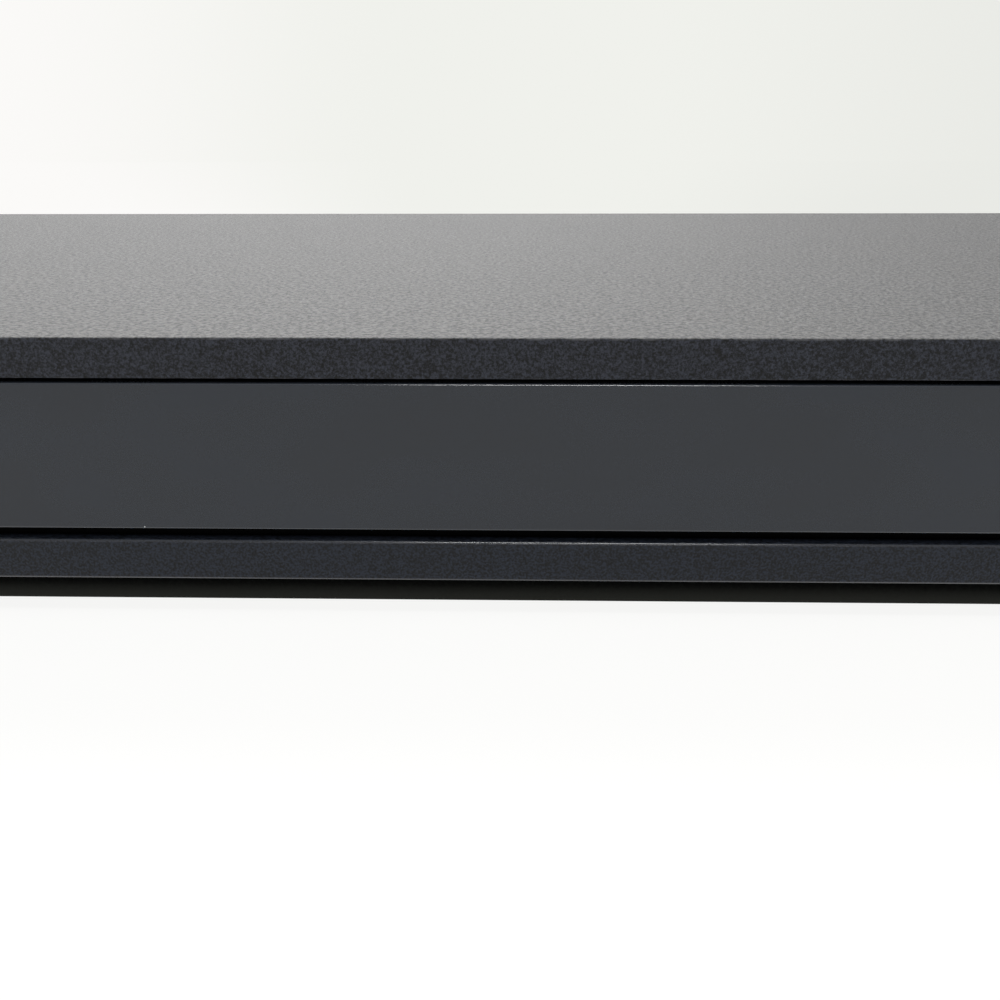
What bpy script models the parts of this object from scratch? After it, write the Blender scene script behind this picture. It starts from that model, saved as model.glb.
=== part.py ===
"""Blu-ray player: a full-width metal case with a powered disc tray, built from separate pieces.

Metres, +Z up. The front faces -Y, the origin is on the floor under the middle of the case.
"""

import math

import bmesh
import bpy
from mathutils import Matrix, Vector

# Fits shared by every piece
CLEARANCE = 0.0003
OVERLAP = 0.0005
OVERRUN = 0.002
ROUND_SIDES = 24
SMALL_SIDES = 12
WELL_SIDES = 56

# Case: plan size, sheet metal and the stack of bands seen on the front, from the floor up
WIDTH = 0.430
DEPTH = 0.265
SHEET = 0.001
FOOT_HEIGHT = 0.004
BASE_WALL_HEIGHT = 0.0049
SILL_HEIGHT = 0.00785
PANEL_GAP = 0.0021
PANEL_HEIGHT = 0.027
LIP_GAP = 0.0008
LIP_HEIGHT = 0.00705
PANEL_THICKNESS = 0.003
BASE_RECESS = 0.002
COVER_BEND = 0.0006
EDGE_SOFTENING = 0.0003
SIDE_WALL_HEIGHT = 0.012

FRONT = -DEPTH / 2
BACK = DEPTH / 2
FLOOR_TOP = FOOT_HEIGHT + SHEET
SILL_BOTTOM = FOOT_HEIGHT + BASE_WALL_HEIGHT + CLEARANCE
SILL_TOP = SILL_BOTTOM + SILL_HEIGHT
PANEL_BOTTOM = SILL_TOP + PANEL_GAP
PANEL_TOP = PANEL_BOTTOM + PANEL_HEIGHT
LIP_BOTTOM = PANEL_TOP + LIP_GAP
HEIGHT = LIP_BOTTOM + LIP_HEIGHT
COVER_INNER = WIDTH / 2 - SHEET
FRONT_HALF_WIDTH = COVER_INNER - CLEARANCE
PANEL_BACK = FRONT + PANEL_THICKNESS
PANEL_MIDDLE = PANEL_BOTTOM + PANEL_HEIGHT / 2
REAR_INNER = BACK - SHEET

# Front frame: the moulding behind the fascias
FRAME_THICKNESS = 0.002
FRAME_FRONT = PANEL_BACK + CLEARANCE
FRAME_BACK = FRAME_FRONT + FRAME_THICKNESS
TRAY_OPENING_MARGIN = 0.0015

# Feet
FOOT_RADIUS = 0.018
FOOT_INSET_X = 0.048
FOOT_INSET_Y = 0.036
PAD_RADIUS = 0.0135
PAD_RECESS = 0.0011
PAD_DROP = 0.0006

# Tray and the panel on its front, which reaches from fascia to fascia
FASCIA_WIDTH = 0.0954
TRAY_PANEL_HALF_WIDTH = FRONT_HALF_WIDTH - FASCIA_WIDTH - CLEARANCE
DISC_CENTRE_DEPTH = 0.075
TRAY_HALF_WIDTH = 0.065
TRAY_LENGTH = 0.180
TRAY_FLOOR = 0.002
WELL_RADIUS = 0.061
WELL_DEPTH = 0.002
SMALL_WELL_RADIUS = 0.0412
SMALL_WELL_DEPTH = 0.0008
SLOT_HALF_WIDTH = 0.023
RAIL_WIDTH = 0.003
RAIL_BELOW = 0.003
RAIL_ABOVE = 0.002

# Loader frame
DECK_RISE = 0.0135
DECK_THICKNESS = 0.0017
LOADER_LENGTH = 0.185
LOADER_WALL = 0.003
LEDGE_WIDTH = 0.0028
LEDGE_THICKNESS = 0.0023
LIP_WIDTH = 0.0018
LIP_THICKNESS = 0.0017
LOADER_WALL_RISE = 0.0067
EAR_LENGTH = 0.012
EAR_WIDTH = 0.0117
EAR_INSET_FRONT = 0.009
EAR_INSET_REAR = 0.010
POST_RADIUS = 0.0035

# Loading gears and belt
GEAR_MODULE = 0.001
TRAY_GEAR_TEETH = 28
PINION_TEETH = 12
RACK_TEETH = 50
GEAR_THICKNESS = 0.0045
GEAR_DEPTH = 0.024
RACK_FOOT = 0.003
RACK_INSET = 0.005
TOOTH_TIP_SHARE = 0.85
TOOTH_ROOT_SHARE = 1.2
TOOTH_BACKLASH = 0.0004
PRESSURE_ANGLE = math.radians(25)
FLANK_STEPS = 3
TRAY_ABOVE_GEARS = 0.0017
PULLEY_THICKNESS = 0.003
PULLEY_RADIUS = 0.014
PULLEY_GROOVE_WIDTH = 0.002
MOTOR_PULLEY_RADIUS = 0.0042
BELT_RADIUS = 0.0007
BELT_SPAN = 0.036
BELT_GROOVE_DEPTH = 0.0016
AXLE_RADIUS = 0.0012
AXLE_TOP = 0.0005
SPACER_RADIUS = 0.0025
MOTOR_RADIUS = 0.012
MOTOR_HEIGHT = 0.0117
MOTOR_SHAFT_RADIUS = 0.001
MOTOR_SHAFT_DEPTH = 0.004
MOTOR_BOSS_RADIUS = 0.0035

# Clamper
BRIDGE_THICKNESS = 0.001
BRIDGE_HALF_WIDTH = 0.017
BRIDGE_RIM_HEIGHT = 0.004
PUCK_RADIUS = 0.015
PUCK_LIFT = 0.003
PUCK_NECK_RADIUS = 0.009
PUCK_FLANGE_RADIUS = 0.013
PUCK_FLANGE_THICKNESS = 0.0015
PUCK_RECESS_RADIUS = 0.0086
PUCK_RECESS_DEPTH = 0.0016
PUCK_PLAY = 0.0006

# Traverse: the tilting frame that carries the spindle and the pickup
TRAVERSE_HALF_WIDTH = 0.043
TRAVERSE_THICKNESS = 0.002
TRAVERSE_AHEAD = 0.022
HINGE_BEHIND = 0.090
TRAVERSE_BEHIND_HINGE = 0.002
TRAVERSE_SIDE_GAP = 0.001
HINGE_PIN_RADIUS = 0.0015
HINGE_PIN_REACH = 0.0034
HINGE_EAR_WIDTH = 0.003
HINGE_EAR_HALF = 0.004
TRAVERSE_DROP = math.radians(3)
SPINDLE_HOLE_RADIUS = 0.0025
PICKUP_WINDOW_HALF = 0.0235
PICKUP_WINDOW_GAP = 0.0015

# Spindle
SPINDLE_MOTOR_RADIUS = 0.013
SPINDLE_MOTOR_HEIGHT = 0.0029
ROTOR_RADIUS = 0.012
ROTOR_HEIGHT = 0.007
SPINDLE_SHAFT_RADIUS = 0.0015
SPINDLE_SHAFT_DEPTH = 0.002
TURNTABLE_RADIUS = 0.0145
TURNTABLE_THICKNESS = 0.003
DISC_LIFT = 0.001
HUB_RADIUS = 0.0074
HUB_TOP_RADIUS = 0.0055
HUB_HEIGHT = 0.0025
HUB_RISE = 0.0008

# Pickup sled and its drive
SHAFT_RADIUS = 0.0015
SHAFT_SPACING = 0.028
SHAFT_RISE = 0.0048
SHAFT_FRONT = 0.006
SHAFT_END_GAP = 0.004
HOLDER_LENGTH = 0.004
HOLDER_HALF = 0.003
SCREW_X = 0.036
SCREW_RADIUS = 0.0015
SCREW_SEAT = 0.003
SLED_HALF_WIDTH = 0.0225
SLED_AHEAD = 0.008
SLED_BEHIND = 0.018
SLED_START = 0.024
SLED_TRAVEL = 0.034
SLED_BELOW = 0.0075
SLED_ABOVE = 0.0035
BUSH_RADIUS = 0.0028
BUSH_LENGTH = 0.012
BUSH_LEAD = 0.001
SLED_ARM_HALF = 0.0015
LENS_RADIUS = 0.004
LENS_HEIGHT = 0.0022
LENS_TRAVEL = 0.0007
LENS_SEAT_RADIUS = 0.0065
LENS_SEAT_DEPTH = 0.0035
LENS_SKIRT_RADIUS = 0.0061
LENS_SKIRT_HEIGHT = 0.002
SLED_MOTOR_RADIUS = 0.0045
SLED_MOTOR_GAP = 0.001
SLED_MOTOR_LENGTH = 0.0125

# Lift cam: slides across and lowers the front of the traverse by a slanted slot
CAM_THICKNESS = 0.002
CAM_GAP = 0.004
CAM_HALF_LENGTH = 0.026
CAM_TRAVEL = 0.016
CAM_BELOW_PIN = 0.010
CAM_ABOVE_PIN = 0.004
CAM_PIN_X = 0.008
CAM_PIN_RADIUS = 0.0015
CAM_SLOT_PLAY = 0.0006
CAM_GUIDE_THICKNESS = 0.002
CAM_LEDGE_THICKNESS = 0.0018

# Front controls, placed across the right fascia by shares of its width from its inner end
USB_PLACE_SHARE = 0.165
REMOTE_PLACE_SHARE = 0.385
EJECT_PLACE_SHARE = 0.605
LIGHT_PLACE_SHARE = 0.715
POWER_PLACE_SHARE = 0.825
BUTTON_RADIUS = 0.0055
BUTTON_FLANGE = 0.0011
BUTTON_FLANGE_THICKNESS = 0.001
BUTTON_STEM_RADIUS = 0.002
BUTTON_TRAVEL = 0.0008
SWITCH_HALF = 0.003
SWITCH_HEIGHT = 0.0035
PLUNGER_RADIUS = 0.0015
PLUNGER_HEIGHT = 0.0008
BOARD_THICKNESS = 0.0016
BUTTON_BOARD_DEPTH = 0.0120
BUTTON_BOARD_MARGIN = 0.0015
BUTTON_BOARD_OVERHANG = 0.0055
BUTTON_BOARD_HALF = 0.011
BUTTON_POST_RADIUS = 0.0025
BUTTON_POST_INSET = 0.004
REMOTE_RADIUS = 0.004
LIGHT_RADIUS = 0.0008

# Front port and its door
USB_DOOR_HALF_WIDTH = 0.009
USB_DOOR_HALF_HEIGHT = 0.006
USB_DOOR_THICKNESS = 0.0024
USB_PIN_RADIUS = 0.0005
USB_PIN_REACH = 0.0008
USB_HALF_WIDTH = 0.00655
USB_HALF_HEIGHT = 0.0030
USB_SHELL = 0.0004
USB_DEPTH = 0.0078
USB_TONGUE_HALF_WIDTH = 0.005
USB_TONGUE_THICKNESS = 0.0018
USB_TONGUE_SETBACK = 0.001
USB_TONGUE_RISE = 0.0001
USB_FRAME_GAP = 0.0006

# Boards and what stands on them: across by shares of the board's width, along by insets from its front
BOARD_RISE = 0.006
BOARD_POST_RADIUS = 0.003
BOARD_POST_INSET = 0.006
MAIN_BOARD_LOADER_GAP = 0.008
MAIN_BOARD_WALL_GAP = 0.0067
MAIN_BOARD_LENGTH = 0.1705
BOARD_REAR_GAP = 0.003
POWER_BOARD_LOADER_GAP = 0.024
POWER_BOARD_WALL_GAP = 0.0087
POWER_BOARD_LENGTH = 0.1445
CHIP_PLACE_SHARE = 0.466
CHIP_INSET = 0.067
CHIP_HALF = 0.010
CHIP_THICKNESS = 0.0016
SINK_HALF = 0.021
SINK_BASE = 0.0025
SINK_FIN_HEIGHT = 0.014
SINK_FIN_THICKNESS = 0.0014
SINK_FINS = 8
TRANSFORMER_PLACE_SHARE = 0.64
TRANSFORMER_INSET = 0.068
TRANSFORMER_HALF_X = 0.017
TRANSFORMER_HALF_Y = 0.014
TRANSFORMER_HEIGHT = 0.022
WINDING_INSET = 0.004
WINDING_BULGE = 0.003
CAPACITOR_PLACE_SHARE = 0.22
CAPACITOR_INSET = 0.056
CAPACITOR_RADIUS = 0.009
CAPACITOR_HEIGHT = 0.028

# Rear sockets: place across as a share of their board's width, half width, height and depth
SOCKET_SHELL = 0.0008
HDMI_ONE_PLACE_SHARE = 0.136
HDMI_TWO_PLACE_SHARE = 0.33
HDMI_HALF_WIDTH = 0.0075
HDMI_HEIGHT = 0.0060
HDMI_DEPTH = 0.011
HDMI_TONGUE = 0.0012
HDMI_TONGUE_HALF_WIDTH = 0.0055
LAN_PLACE_SHARE = 0.568
LAN_HALF_WIDTH = 0.0080
LAN_HEIGHT = 0.0135
LAN_DEPTH = 0.016
OPTICAL_PLACE_SHARE = 0.78
OPTICAL_HALF_WIDTH = 0.0048
OPTICAL_HEIGHT = 0.0095
OPTICAL_DEPTH = 0.012
INLET_PLACE_SHARE = 0.22
INLET_HALF_WIDTH = 0.012
INLET_HEIGHT = 0.0135
INLET_DEPTH = 0.018
INLET_CAVITY_RADIUS = 0.0046
INLET_CAVITY_DEPTH = 0.012
INLET_PIN_RADIUS = 0.0012
INLET_PIN_SPACING = 0.0086
INLET_PIN_LENGTH = 0.010

# Vents
VENT_WIDTH = 0.003
VENT_PITCH = 0.007
REAR_VENT_HEIGHT = 0.016
REAR_VENT_COUNT = 14
REAR_VENT_GAP = 0.050
REAR_VENT_RISE = 0.020
FLOOR_VENT_LENGTH = 0.030
FLOOR_VENT_COUNT = 9

# Cables inside
RIBBON_WIDTH = 0.022
RIBBON_THICKNESS = 0.0003
RIBBON_INSET = 0.014
RIBBON_BOARD_REACH = 0.008
RIBBON_DECK_REACH = 0.010
RIBBON_SLACK = 0.004
HARNESS_RADIUS = 0.0015
HARNESS_PLACE_SHARE = 0.425
HARNESS_REACH = 0.006
HARNESS_POINTS = 40

# Heights of the loader stack, worked out from the floor up
DECK_BOTTOM = FLOOR_TOP + DECK_RISE
DECK_TOP = DECK_BOTTOM + DECK_THICKNESS
PULLEY_BOTTOM = DECK_TOP + CLEARANCE
PULLEY_TOP = PULLEY_BOTTOM + PULLEY_THICKNESS
GEAR_BOTTOM = PULLEY_TOP + CLEARANCE
GEAR_TOP = GEAR_BOTTOM + GEAR_THICKNESS
TRAY_BOTTOM = GEAR_TOP + TRAY_ABOVE_GEARS
WELL_FLOOR = TRAY_BOTTOM + TRAY_FLOOR
TRAY_TOP = WELL_FLOOR + WELL_DEPTH
RAIL_BOTTOM = TRAY_BOTTOM - RAIL_BELOW
RAIL_TOP = TRAY_TOP + RAIL_ABOVE
LOADER_WALL_TOP = TRAY_TOP + LOADER_WALL_RISE
BRIDGE_BOTTOM = LOADER_WALL_TOP + CLEARANCE
BRIDGE_TOP = BRIDGE_BOTTOM + BRIDGE_THICKNESS
TURNTABLE_TOP = WELL_FLOOR + DISC_LIFT
TURNTABLE_BOTTOM = TURNTABLE_TOP - TURNTABLE_THICKNESS
TRAVERSE_TOP = DECK_TOP
TRAVERSE_BOTTOM = TRAVERSE_TOP - TRAVERSE_THICKNESS
HINGE_HEIGHT = TRAVERSE_TOP - TRAVERSE_THICKNESS / 2
SHAFT_HEIGHT = TRAVERSE_TOP + SHAFT_RISE

# Places along the case, worked out from the front
TRAY_FRONT = PANEL_BACK + CLEARANCE
TRAY_REAR = TRAY_FRONT + TRAY_LENGTH
LOADER_FRONT = FRAME_BACK + CLEARANCE
LOADER_REAR = LOADER_FRONT + LOADER_LENGTH
LOADER_INNER = TRAY_HALF_WIDTH + CLEARANCE
LOADER_OUTER = LOADER_INNER + LOADER_WALL
SPINDLE_Y = FRONT + DISC_CENTRE_DEPTH
GEAR_Y = FRONT + GEAR_DEPTH
TRAY_GEAR_RADIUS = GEAR_MODULE * TRAY_GEAR_TEETH / 2
PINION_RADIUS = GEAR_MODULE * PINION_TEETH / 2
RACK_BACK_X = TRAY_HALF_WIDTH - RACK_INSET
RACK_X = RACK_BACK_X - GEAR_MODULE * TOOTH_ROOT_SHARE - RACK_FOOT
TRAY_GEAR_X = RACK_X - TRAY_GEAR_RADIUS
PINION_X = TRAY_GEAR_X - TRAY_GEAR_RADIUS - PINION_RADIUS
MOTOR_X = PINION_X - BELT_SPAN
BELT_HEIGHT = PULLEY_BOTTOM + PULLEY_THICKNESS / 2
TRAVERSE_FRONT = SPINDLE_Y - TRAVERSE_AHEAD
HINGE_Y = SPINDLE_Y + HINGE_BEHIND
TRAVERSE_REAR = HINGE_Y + TRAVERSE_BEHIND_HINGE
WINDOW_HALF = TRAVERSE_HALF_WIDTH + TRAVERSE_SIDE_GAP
CAM_REAR = TRAVERSE_FRONT - CAM_GAP
CAM_FRONT = CAM_REAR - CAM_THICKNESS
GUIDE_REAR = CAM_FRONT - CLEARANCE
GUIDE_FRONT = GUIDE_REAR - CAM_GUIDE_THICKNESS
CAM_BOTTOM = HINGE_HEIGHT - CAM_BELOW_PIN
CAM_TOP = HINGE_HEIGHT + CAM_ABOVE_PIN
CAM_ARM = HINGE_Y - (CAM_FRONT + CAM_REAR) / 2
CAM_DROP = CAM_ARM * math.sin(TRAVERSE_DROP)
SLED_Y = SPINDLE_Y + SLED_START
LENS_BASE = SHAFT_HEIGHT + SLED_ABOVE
PICKUP_WINDOW_FRONT = SLED_START - SLED_AHEAD - PICKUP_WINDOW_GAP
PICKUP_WINDOW_REAR = SLED_START + SLED_TRAVEL + SLED_BEHIND + PICKUP_WINDOW_GAP
SHAFT_REAR = SLED_START + SLED_TRAVEL + SLED_BEHIND + SHAFT_END_GAP + HOLDER_LENGTH
SLED_MOTOR_FRONT = SLED_START + SLED_TRAVEL + BUSH_LENGTH - BUSH_LEAD + SLED_MOTOR_GAP
BUTTON_BOARD_FRONT = FRONT + BUTTON_BOARD_DEPTH
BOARD_BOTTOM = FLOOR_TOP + BOARD_RISE
BOARD_TOP = BOARD_BOTTOM + BOARD_THICKNESS
BOARD_REAR = REAR_INNER - BOARD_REAR_GAP
SOCKET_BOTTOM = BOARD_TOP + CLEARANCE
MAIN_BOARD_FRONT = BOARD_REAR - MAIN_BOARD_LENGTH
POWER_BOARD_FRONT = BOARD_REAR - POWER_BOARD_LENGTH
CHIP_Y = MAIN_BOARD_FRONT + CHIP_INSET
TRANSFORMER_Y = POWER_BOARD_FRONT + TRANSFORMER_INSET
CAPACITOR_Y = POWER_BOARD_FRONT + CAPACITOR_INSET
RIBBON_Y = MAIN_BOARD_FRONT + RIBBON_INSET
HARNESS_Y = LOADER_REAR + (BOARD_REAR - LOADER_REAR) * HARNESS_PLACE_SHARE

# Places across the case, worked out from the fascia, the loader and the walls
FASCIA_INNER = FRONT_HALF_WIDTH - FASCIA_WIDTH
USB_X = FASCIA_INNER + FASCIA_WIDTH * USB_PLACE_SHARE
REMOTE_X = FASCIA_INNER + FASCIA_WIDTH * REMOTE_PLACE_SHARE
EJECT_BUTTON_X = FASCIA_INNER + FASCIA_WIDTH * EJECT_PLACE_SHARE
LIGHT_X = FASCIA_INNER + FASCIA_WIDTH * LIGHT_PLACE_SHARE
POWER_BUTTON_X = FASCIA_INNER + FASCIA_WIDTH * POWER_PLACE_SHARE
BUTTON_BOARD_LEFT = USB_X - USB_HALF_WIDTH - BUTTON_BOARD_MARGIN
BUTTON_BOARD_RIGHT = POWER_BUTTON_X + BUTTON_RADIUS + BUTTON_BOARD_OVERHANG
SIDE_WALL_INNER = FRONT_HALF_WIDTH - SHEET
EAR_OUTER = LOADER_OUTER + EAR_WIDTH
MAIN_BOARD_LEFT = EAR_OUTER + MAIN_BOARD_LOADER_GAP
MAIN_BOARD_WIDTH = SIDE_WALL_INNER - MAIN_BOARD_WALL_GAP - MAIN_BOARD_LEFT
MAIN_BOARD_RIGHT = MAIN_BOARD_LEFT + MAIN_BOARD_WIDTH
POWER_BOARD_LEFT = POWER_BOARD_WALL_GAP - SIDE_WALL_INNER
POWER_BOARD_RIGHT = -EAR_OUTER - POWER_BOARD_LOADER_GAP
POWER_BOARD_WIDTH = POWER_BOARD_RIGHT - POWER_BOARD_LEFT
CHIP_X = MAIN_BOARD_LEFT + MAIN_BOARD_WIDTH * CHIP_PLACE_SHARE
HDMI_ONE_X = MAIN_BOARD_LEFT + MAIN_BOARD_WIDTH * HDMI_ONE_PLACE_SHARE
HDMI_TWO_X = MAIN_BOARD_LEFT + MAIN_BOARD_WIDTH * HDMI_TWO_PLACE_SHARE
LAN_X = MAIN_BOARD_LEFT + MAIN_BOARD_WIDTH * LAN_PLACE_SHARE
OPTICAL_X = MAIN_BOARD_LEFT + MAIN_BOARD_WIDTH * OPTICAL_PLACE_SHARE
TRANSFORMER_X = POWER_BOARD_LEFT + POWER_BOARD_WIDTH * TRANSFORMER_PLACE_SHARE
CAPACITOR_X = POWER_BOARD_LEFT + POWER_BOARD_WIDTH * CAPACITOR_PLACE_SHARE
INLET_X = POWER_BOARD_LEFT + POWER_BOARD_WIDTH * INLET_PLACE_SHARE
REAR_VENT_X = INLET_X + INLET_HALF_WIDTH + REAR_VENT_GAP


def clear_scene():
    """Remove every object that is already there."""
    for item in list(bpy.data.objects):
        bpy.data.objects.remove(item)


def paint(name, colour, roughness, metallic=0):
    """Make one Principled material."""
    material = bpy.data.materials.new(name)
    material.use_nodes = True
    shader = material.node_tree.nodes["Principled BSDF"]
    shader.inputs["Base Color"].default_value = (*colour, 1)
    shader.inputs["Roughness"].default_value = roughness
    shader.inputs["Metallic"].default_value = metallic
    return material


def place(name, shape, origin):
    """Turn a bmesh drawn in world places into an object whose origin is the given point."""
    bmesh.ops.translate(shape, verts=shape.verts, vec=-Vector(origin))
    bmesh.ops.recalc_face_normals(shape, faces=shape.faces)
    mesh = bpy.data.meshes.new(name)
    shape.to_mesh(mesh)
    shape.free()
    item = bpy.data.objects.new(name, mesh)
    item.location = origin
    bpy.context.scene.collection.objects.link(item)
    return item


def block(name, low, high):
    """A box between two corners, with its origin in its middle."""
    low = Vector(low)
    high = Vector(high)
    shape = bmesh.new()
    bmesh.ops.create_cube(shape, size=1)
    bmesh.ops.scale(shape, verts=shape.verts, vec=high - low)
    bmesh.ops.translate(shape, verts=shape.verts, vec=(low + high) / 2)
    return place(name, shape, (low + high) / 2)


def turn_to(axis):
    """The rotation that lays the Z axis along the named axis."""
    if axis == "X":
        return Matrix.Rotation(math.pi / 2, 3, "Y")
    if axis == "Y":
        return Matrix.Rotation(-math.pi / 2, 3, "X")
    return Matrix.Identity(3)


def rod(name, base, length, radius, axis="Z", sides=ROUND_SIDES):
    """A cylinder from its base point along a world axis, with its origin on its axis."""
    shape = bmesh.new()
    bmesh.ops.create_cone(shape, cap_ends=True, segments=sides, radius1=radius, radius2=radius, depth=length)
    bmesh.ops.translate(shape, verts=shape.verts, vec=(0, 0, length / 2))
    bmesh.ops.rotate(shape, verts=shape.verts, matrix=turn_to(axis))
    bmesh.ops.translate(shape, verts=shape.verts, vec=Vector(base))
    item = place(name, shape, base)
    smooth(item)
    return item


def turned(name, base, profile, axis="Z", sides=ROUND_SIDES):
    """A solid of revolution from (radius, height) points that start and end on the axis."""
    shape = bmesh.new()
    points = [shape.verts.new((radius, 0, height)) for radius, height in profile]
    edges = [shape.edges.new(pair) for pair in zip(points, points[1:])]
    bmesh.ops.spin(
        shape,
        geom=points + edges,
        cent=(0, 0, 0),
        axis=(0, 0, 1),
        angle=math.tau,
        steps=sides,
        use_merge=True,
    )
    bmesh.ops.remove_doubles(shape, verts=shape.verts, dist=CLEARANCE / 10)
    bmesh.ops.rotate(shape, verts=shape.verts, matrix=turn_to(axis))
    bmesh.ops.translate(shape, verts=shape.verts, vec=Vector(base))
    item = place(name, shape, base)
    smooth(item)
    return item


def prism(name, outline, start, end, axis="Z"):
    """A closed outline drawn out between two places on a world axis.

    The outline's points are (x, y) for Z, (x, z) for Y and (y, z) for X.
    """
    spots = {
        "X": lambda first, second, along: (along, first, second),
        "Y": lambda first, second, along: (first, along, second),
        "Z": lambda first, second, along: (first, second, along),
    }
    spot = spots[axis]
    shape = bmesh.new()
    near = [shape.verts.new(spot(first, second, start)) for first, second in outline]
    far = [shape.verts.new(spot(first, second, end)) for first, second in outline]
    shape.faces.new(near)
    shape.faces.new(list(reversed(far)))
    for index in range(len(outline)):
        after = (index + 1) % len(outline)
        shape.faces.new((near[index], far[index], far[after], near[after]))
    middle = [sum(values) / len(values) for values in zip(*outline)]
    return place(name, shape, spot(middle[0], middle[1], (start + end) / 2))


def smooth(item):
    """Shade a round piece smooth and keep its corners sharp."""
    item.data.shade_smooth()
    item.data.set_sharp_from_angle(angle=math.radians(35))


def follow(child, parent):
    """Parent without moving the child."""
    child.parent = parent
    child.matrix_parent_inverse = Matrix.Translation(parent.location).inverted()


def carve(target, operation, tools):
    """Cut or join helper shapes to a piece and hide them."""
    for tool in tools:
        change = target.modifiers.new(f"{operation.lower()}_{tool.name}", "BOOLEAN")
        change.operation = operation
        change.solver = "EXACT"
        change.object = tool
        tool.hide_render = True
        tool.display_type = "WIRE"
        follow(tool, target)


def cut(target, *tools):
    """Take helper shapes out of a piece."""
    carve(target, "DIFFERENCE", tools)


def join(target, *tools):
    """Add helper shapes to a piece."""
    carve(target, "UNION", tools)


def soften(item, width, steps=1):
    """Round the edges of a piece."""
    bevel = item.modifiers.new("softened_edges", "BEVEL")
    bevel.width = width
    bevel.segments = steps
    bevel.limit_method = "ANGLE"


def guide(name, spot, parent=None):
    """An empty on a joint's axis."""
    empty = bpy.data.objects.new(name, None)
    empty.location = spot
    empty.empty_display_size = PUCK_RADIUS
    bpy.context.scene.collection.objects.link(empty)
    if parent:
        follow(empty, parent)
    return empty


def dress(material, *items):
    """Give pieces their material."""
    for item in items:
        item.data.materials.append(material)


def arc_points(centre, radius, start, end, steps):
    """Points on an arc from one angle to another, both ends included."""
    return [
        (
            centre[0] + radius * math.cos(start + (end - start) * step / steps),
            centre[1] + radius * math.sin(start + (end - start) * step / steps),
        )
        for step in range(steps + 1)
    ]


def make_top_cover(paints):
    """The folded cover: top, two sides and the lip across the front."""
    cover = block("top_cover", (-WIDTH / 2, FRONT, FLOOR_TOP), (WIDTH / 2, BACK, HEIGHT))
    soften(cover, COVER_BEND, 2)
    hollow = block(
        "cover_hollow",
        (-COVER_INNER, FRONT + SHEET, FOOT_HEIGHT - OVERRUN),
        (COVER_INNER, BACK + OVERRUN, HEIGHT - SHEET),
    )
    front = block(
        "cover_front",
        (-COVER_INNER, FRONT - OVERRUN, FOOT_HEIGHT - OVERRUN),
        (COVER_INNER, FRONT + SHEET + OVERRUN, LIP_BOTTOM),
    )
    cut(cover, hollow, front)
    dress(paints["cover"], cover)


def post_places():
    """Where the chassis posts stand, as (x, y, top) for the loader's ears and both boards."""
    ear_x = LOADER_OUTER + EAR_WIDTH / 2
    ear_front = LOADER_FRONT + EAR_INSET_FRONT + EAR_LENGTH / 2
    ear_rear = LOADER_REAR - EAR_INSET_REAR - EAR_LENGTH / 2
    ear_top = DECK_BOTTOM - CLEARANCE
    board_top = BOARD_BOTTOM - CLEARANCE
    places = [(side * ear_x, y, ear_top, POST_RADIUS) for side in (-1, 1) for y in (ear_front, ear_rear)]
    boards = [
        (MAIN_BOARD_LEFT, MAIN_BOARD_RIGHT, MAIN_BOARD_FRONT),
        (POWER_BOARD_LEFT, POWER_BOARD_RIGHT, POWER_BOARD_FRONT),
    ]
    for left, right, front in boards:
        for x in (left + BOARD_POST_INSET, right - BOARD_POST_INSET):
            for y in (front + BOARD_POST_INSET, BOARD_REAR - LAN_DEPTH - BOARD_POST_INSET):
                places.append((x, y, board_top, BOARD_POST_RADIUS))
    return places


def make_base_chassis(paints):
    """The bottom tray with its front edge, side walls, posts and vents."""
    wall_front = FRONT + BASE_RECESS
    base = block(
        "base_chassis",
        (-FRONT_HALF_WIDTH, wall_front, FOOT_HEIGHT),
        (FRONT_HALF_WIDTH, REAR_INNER - CLEARANCE, FLOOR_TOP + SIDE_WALL_HEIGHT),
    )
    soften(base, COVER_BEND, 2)
    top = FLOOR_TOP + SIDE_WALL_HEIGHT + OVERRUN
    outside = FRONT_HALF_WIDTH + OVERRUN
    hollow = block(
        "base_hollow",
        (-SIDE_WALL_INNER, wall_front + SHEET, FLOOR_TOP),
        (SIDE_WALL_INNER, BACK + OVERRUN, top),
    )
    trim = block(
        "base_front_trim",
        (-outside, wall_front - OVERRUN, FOOT_HEIGHT + BASE_WALL_HEIGHT),
        (outside, FRAME_BACK, top),
    )
    seat = block(
        "base_frame_seat",
        (-outside, wall_front + SHEET, FLOOR_TOP),
        (outside, FRAME_BACK + CLEARANCE, top),
    )
    cut(base, hollow, trim, seat)
    for index, (x, y, height, radius) in enumerate(post_places()):
        length = height - FLOOR_TOP + OVERLAP
        post = rod(f"base_post_{index}", (x, y, FLOOR_TOP - OVERLAP), length, radius, sides=SMALL_SIDES)
        join(base, post)
    middle = (POWER_BOARD_LEFT + POWER_BOARD_RIGHT) / 2
    for side in (-1, 1):
        for index in range(FLOOR_VENT_COUNT):
            x = side * middle + (index - (FLOOR_VENT_COUNT - 1) / 2) * VENT_PITCH
            slot = block(
                f"floor_vent_{side}_{index}",
                (x - VENT_WIDTH / 2, CHIP_Y - FLOOR_VENT_LENGTH / 2, FOOT_HEIGHT - OVERRUN),
                (x + VENT_WIDTH / 2, CHIP_Y + FLOOR_VENT_LENGTH / 2, FLOOR_TOP + OVERRUN),
            )
            cut(base, slot)
    dress(paints["chassis"], base)


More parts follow.
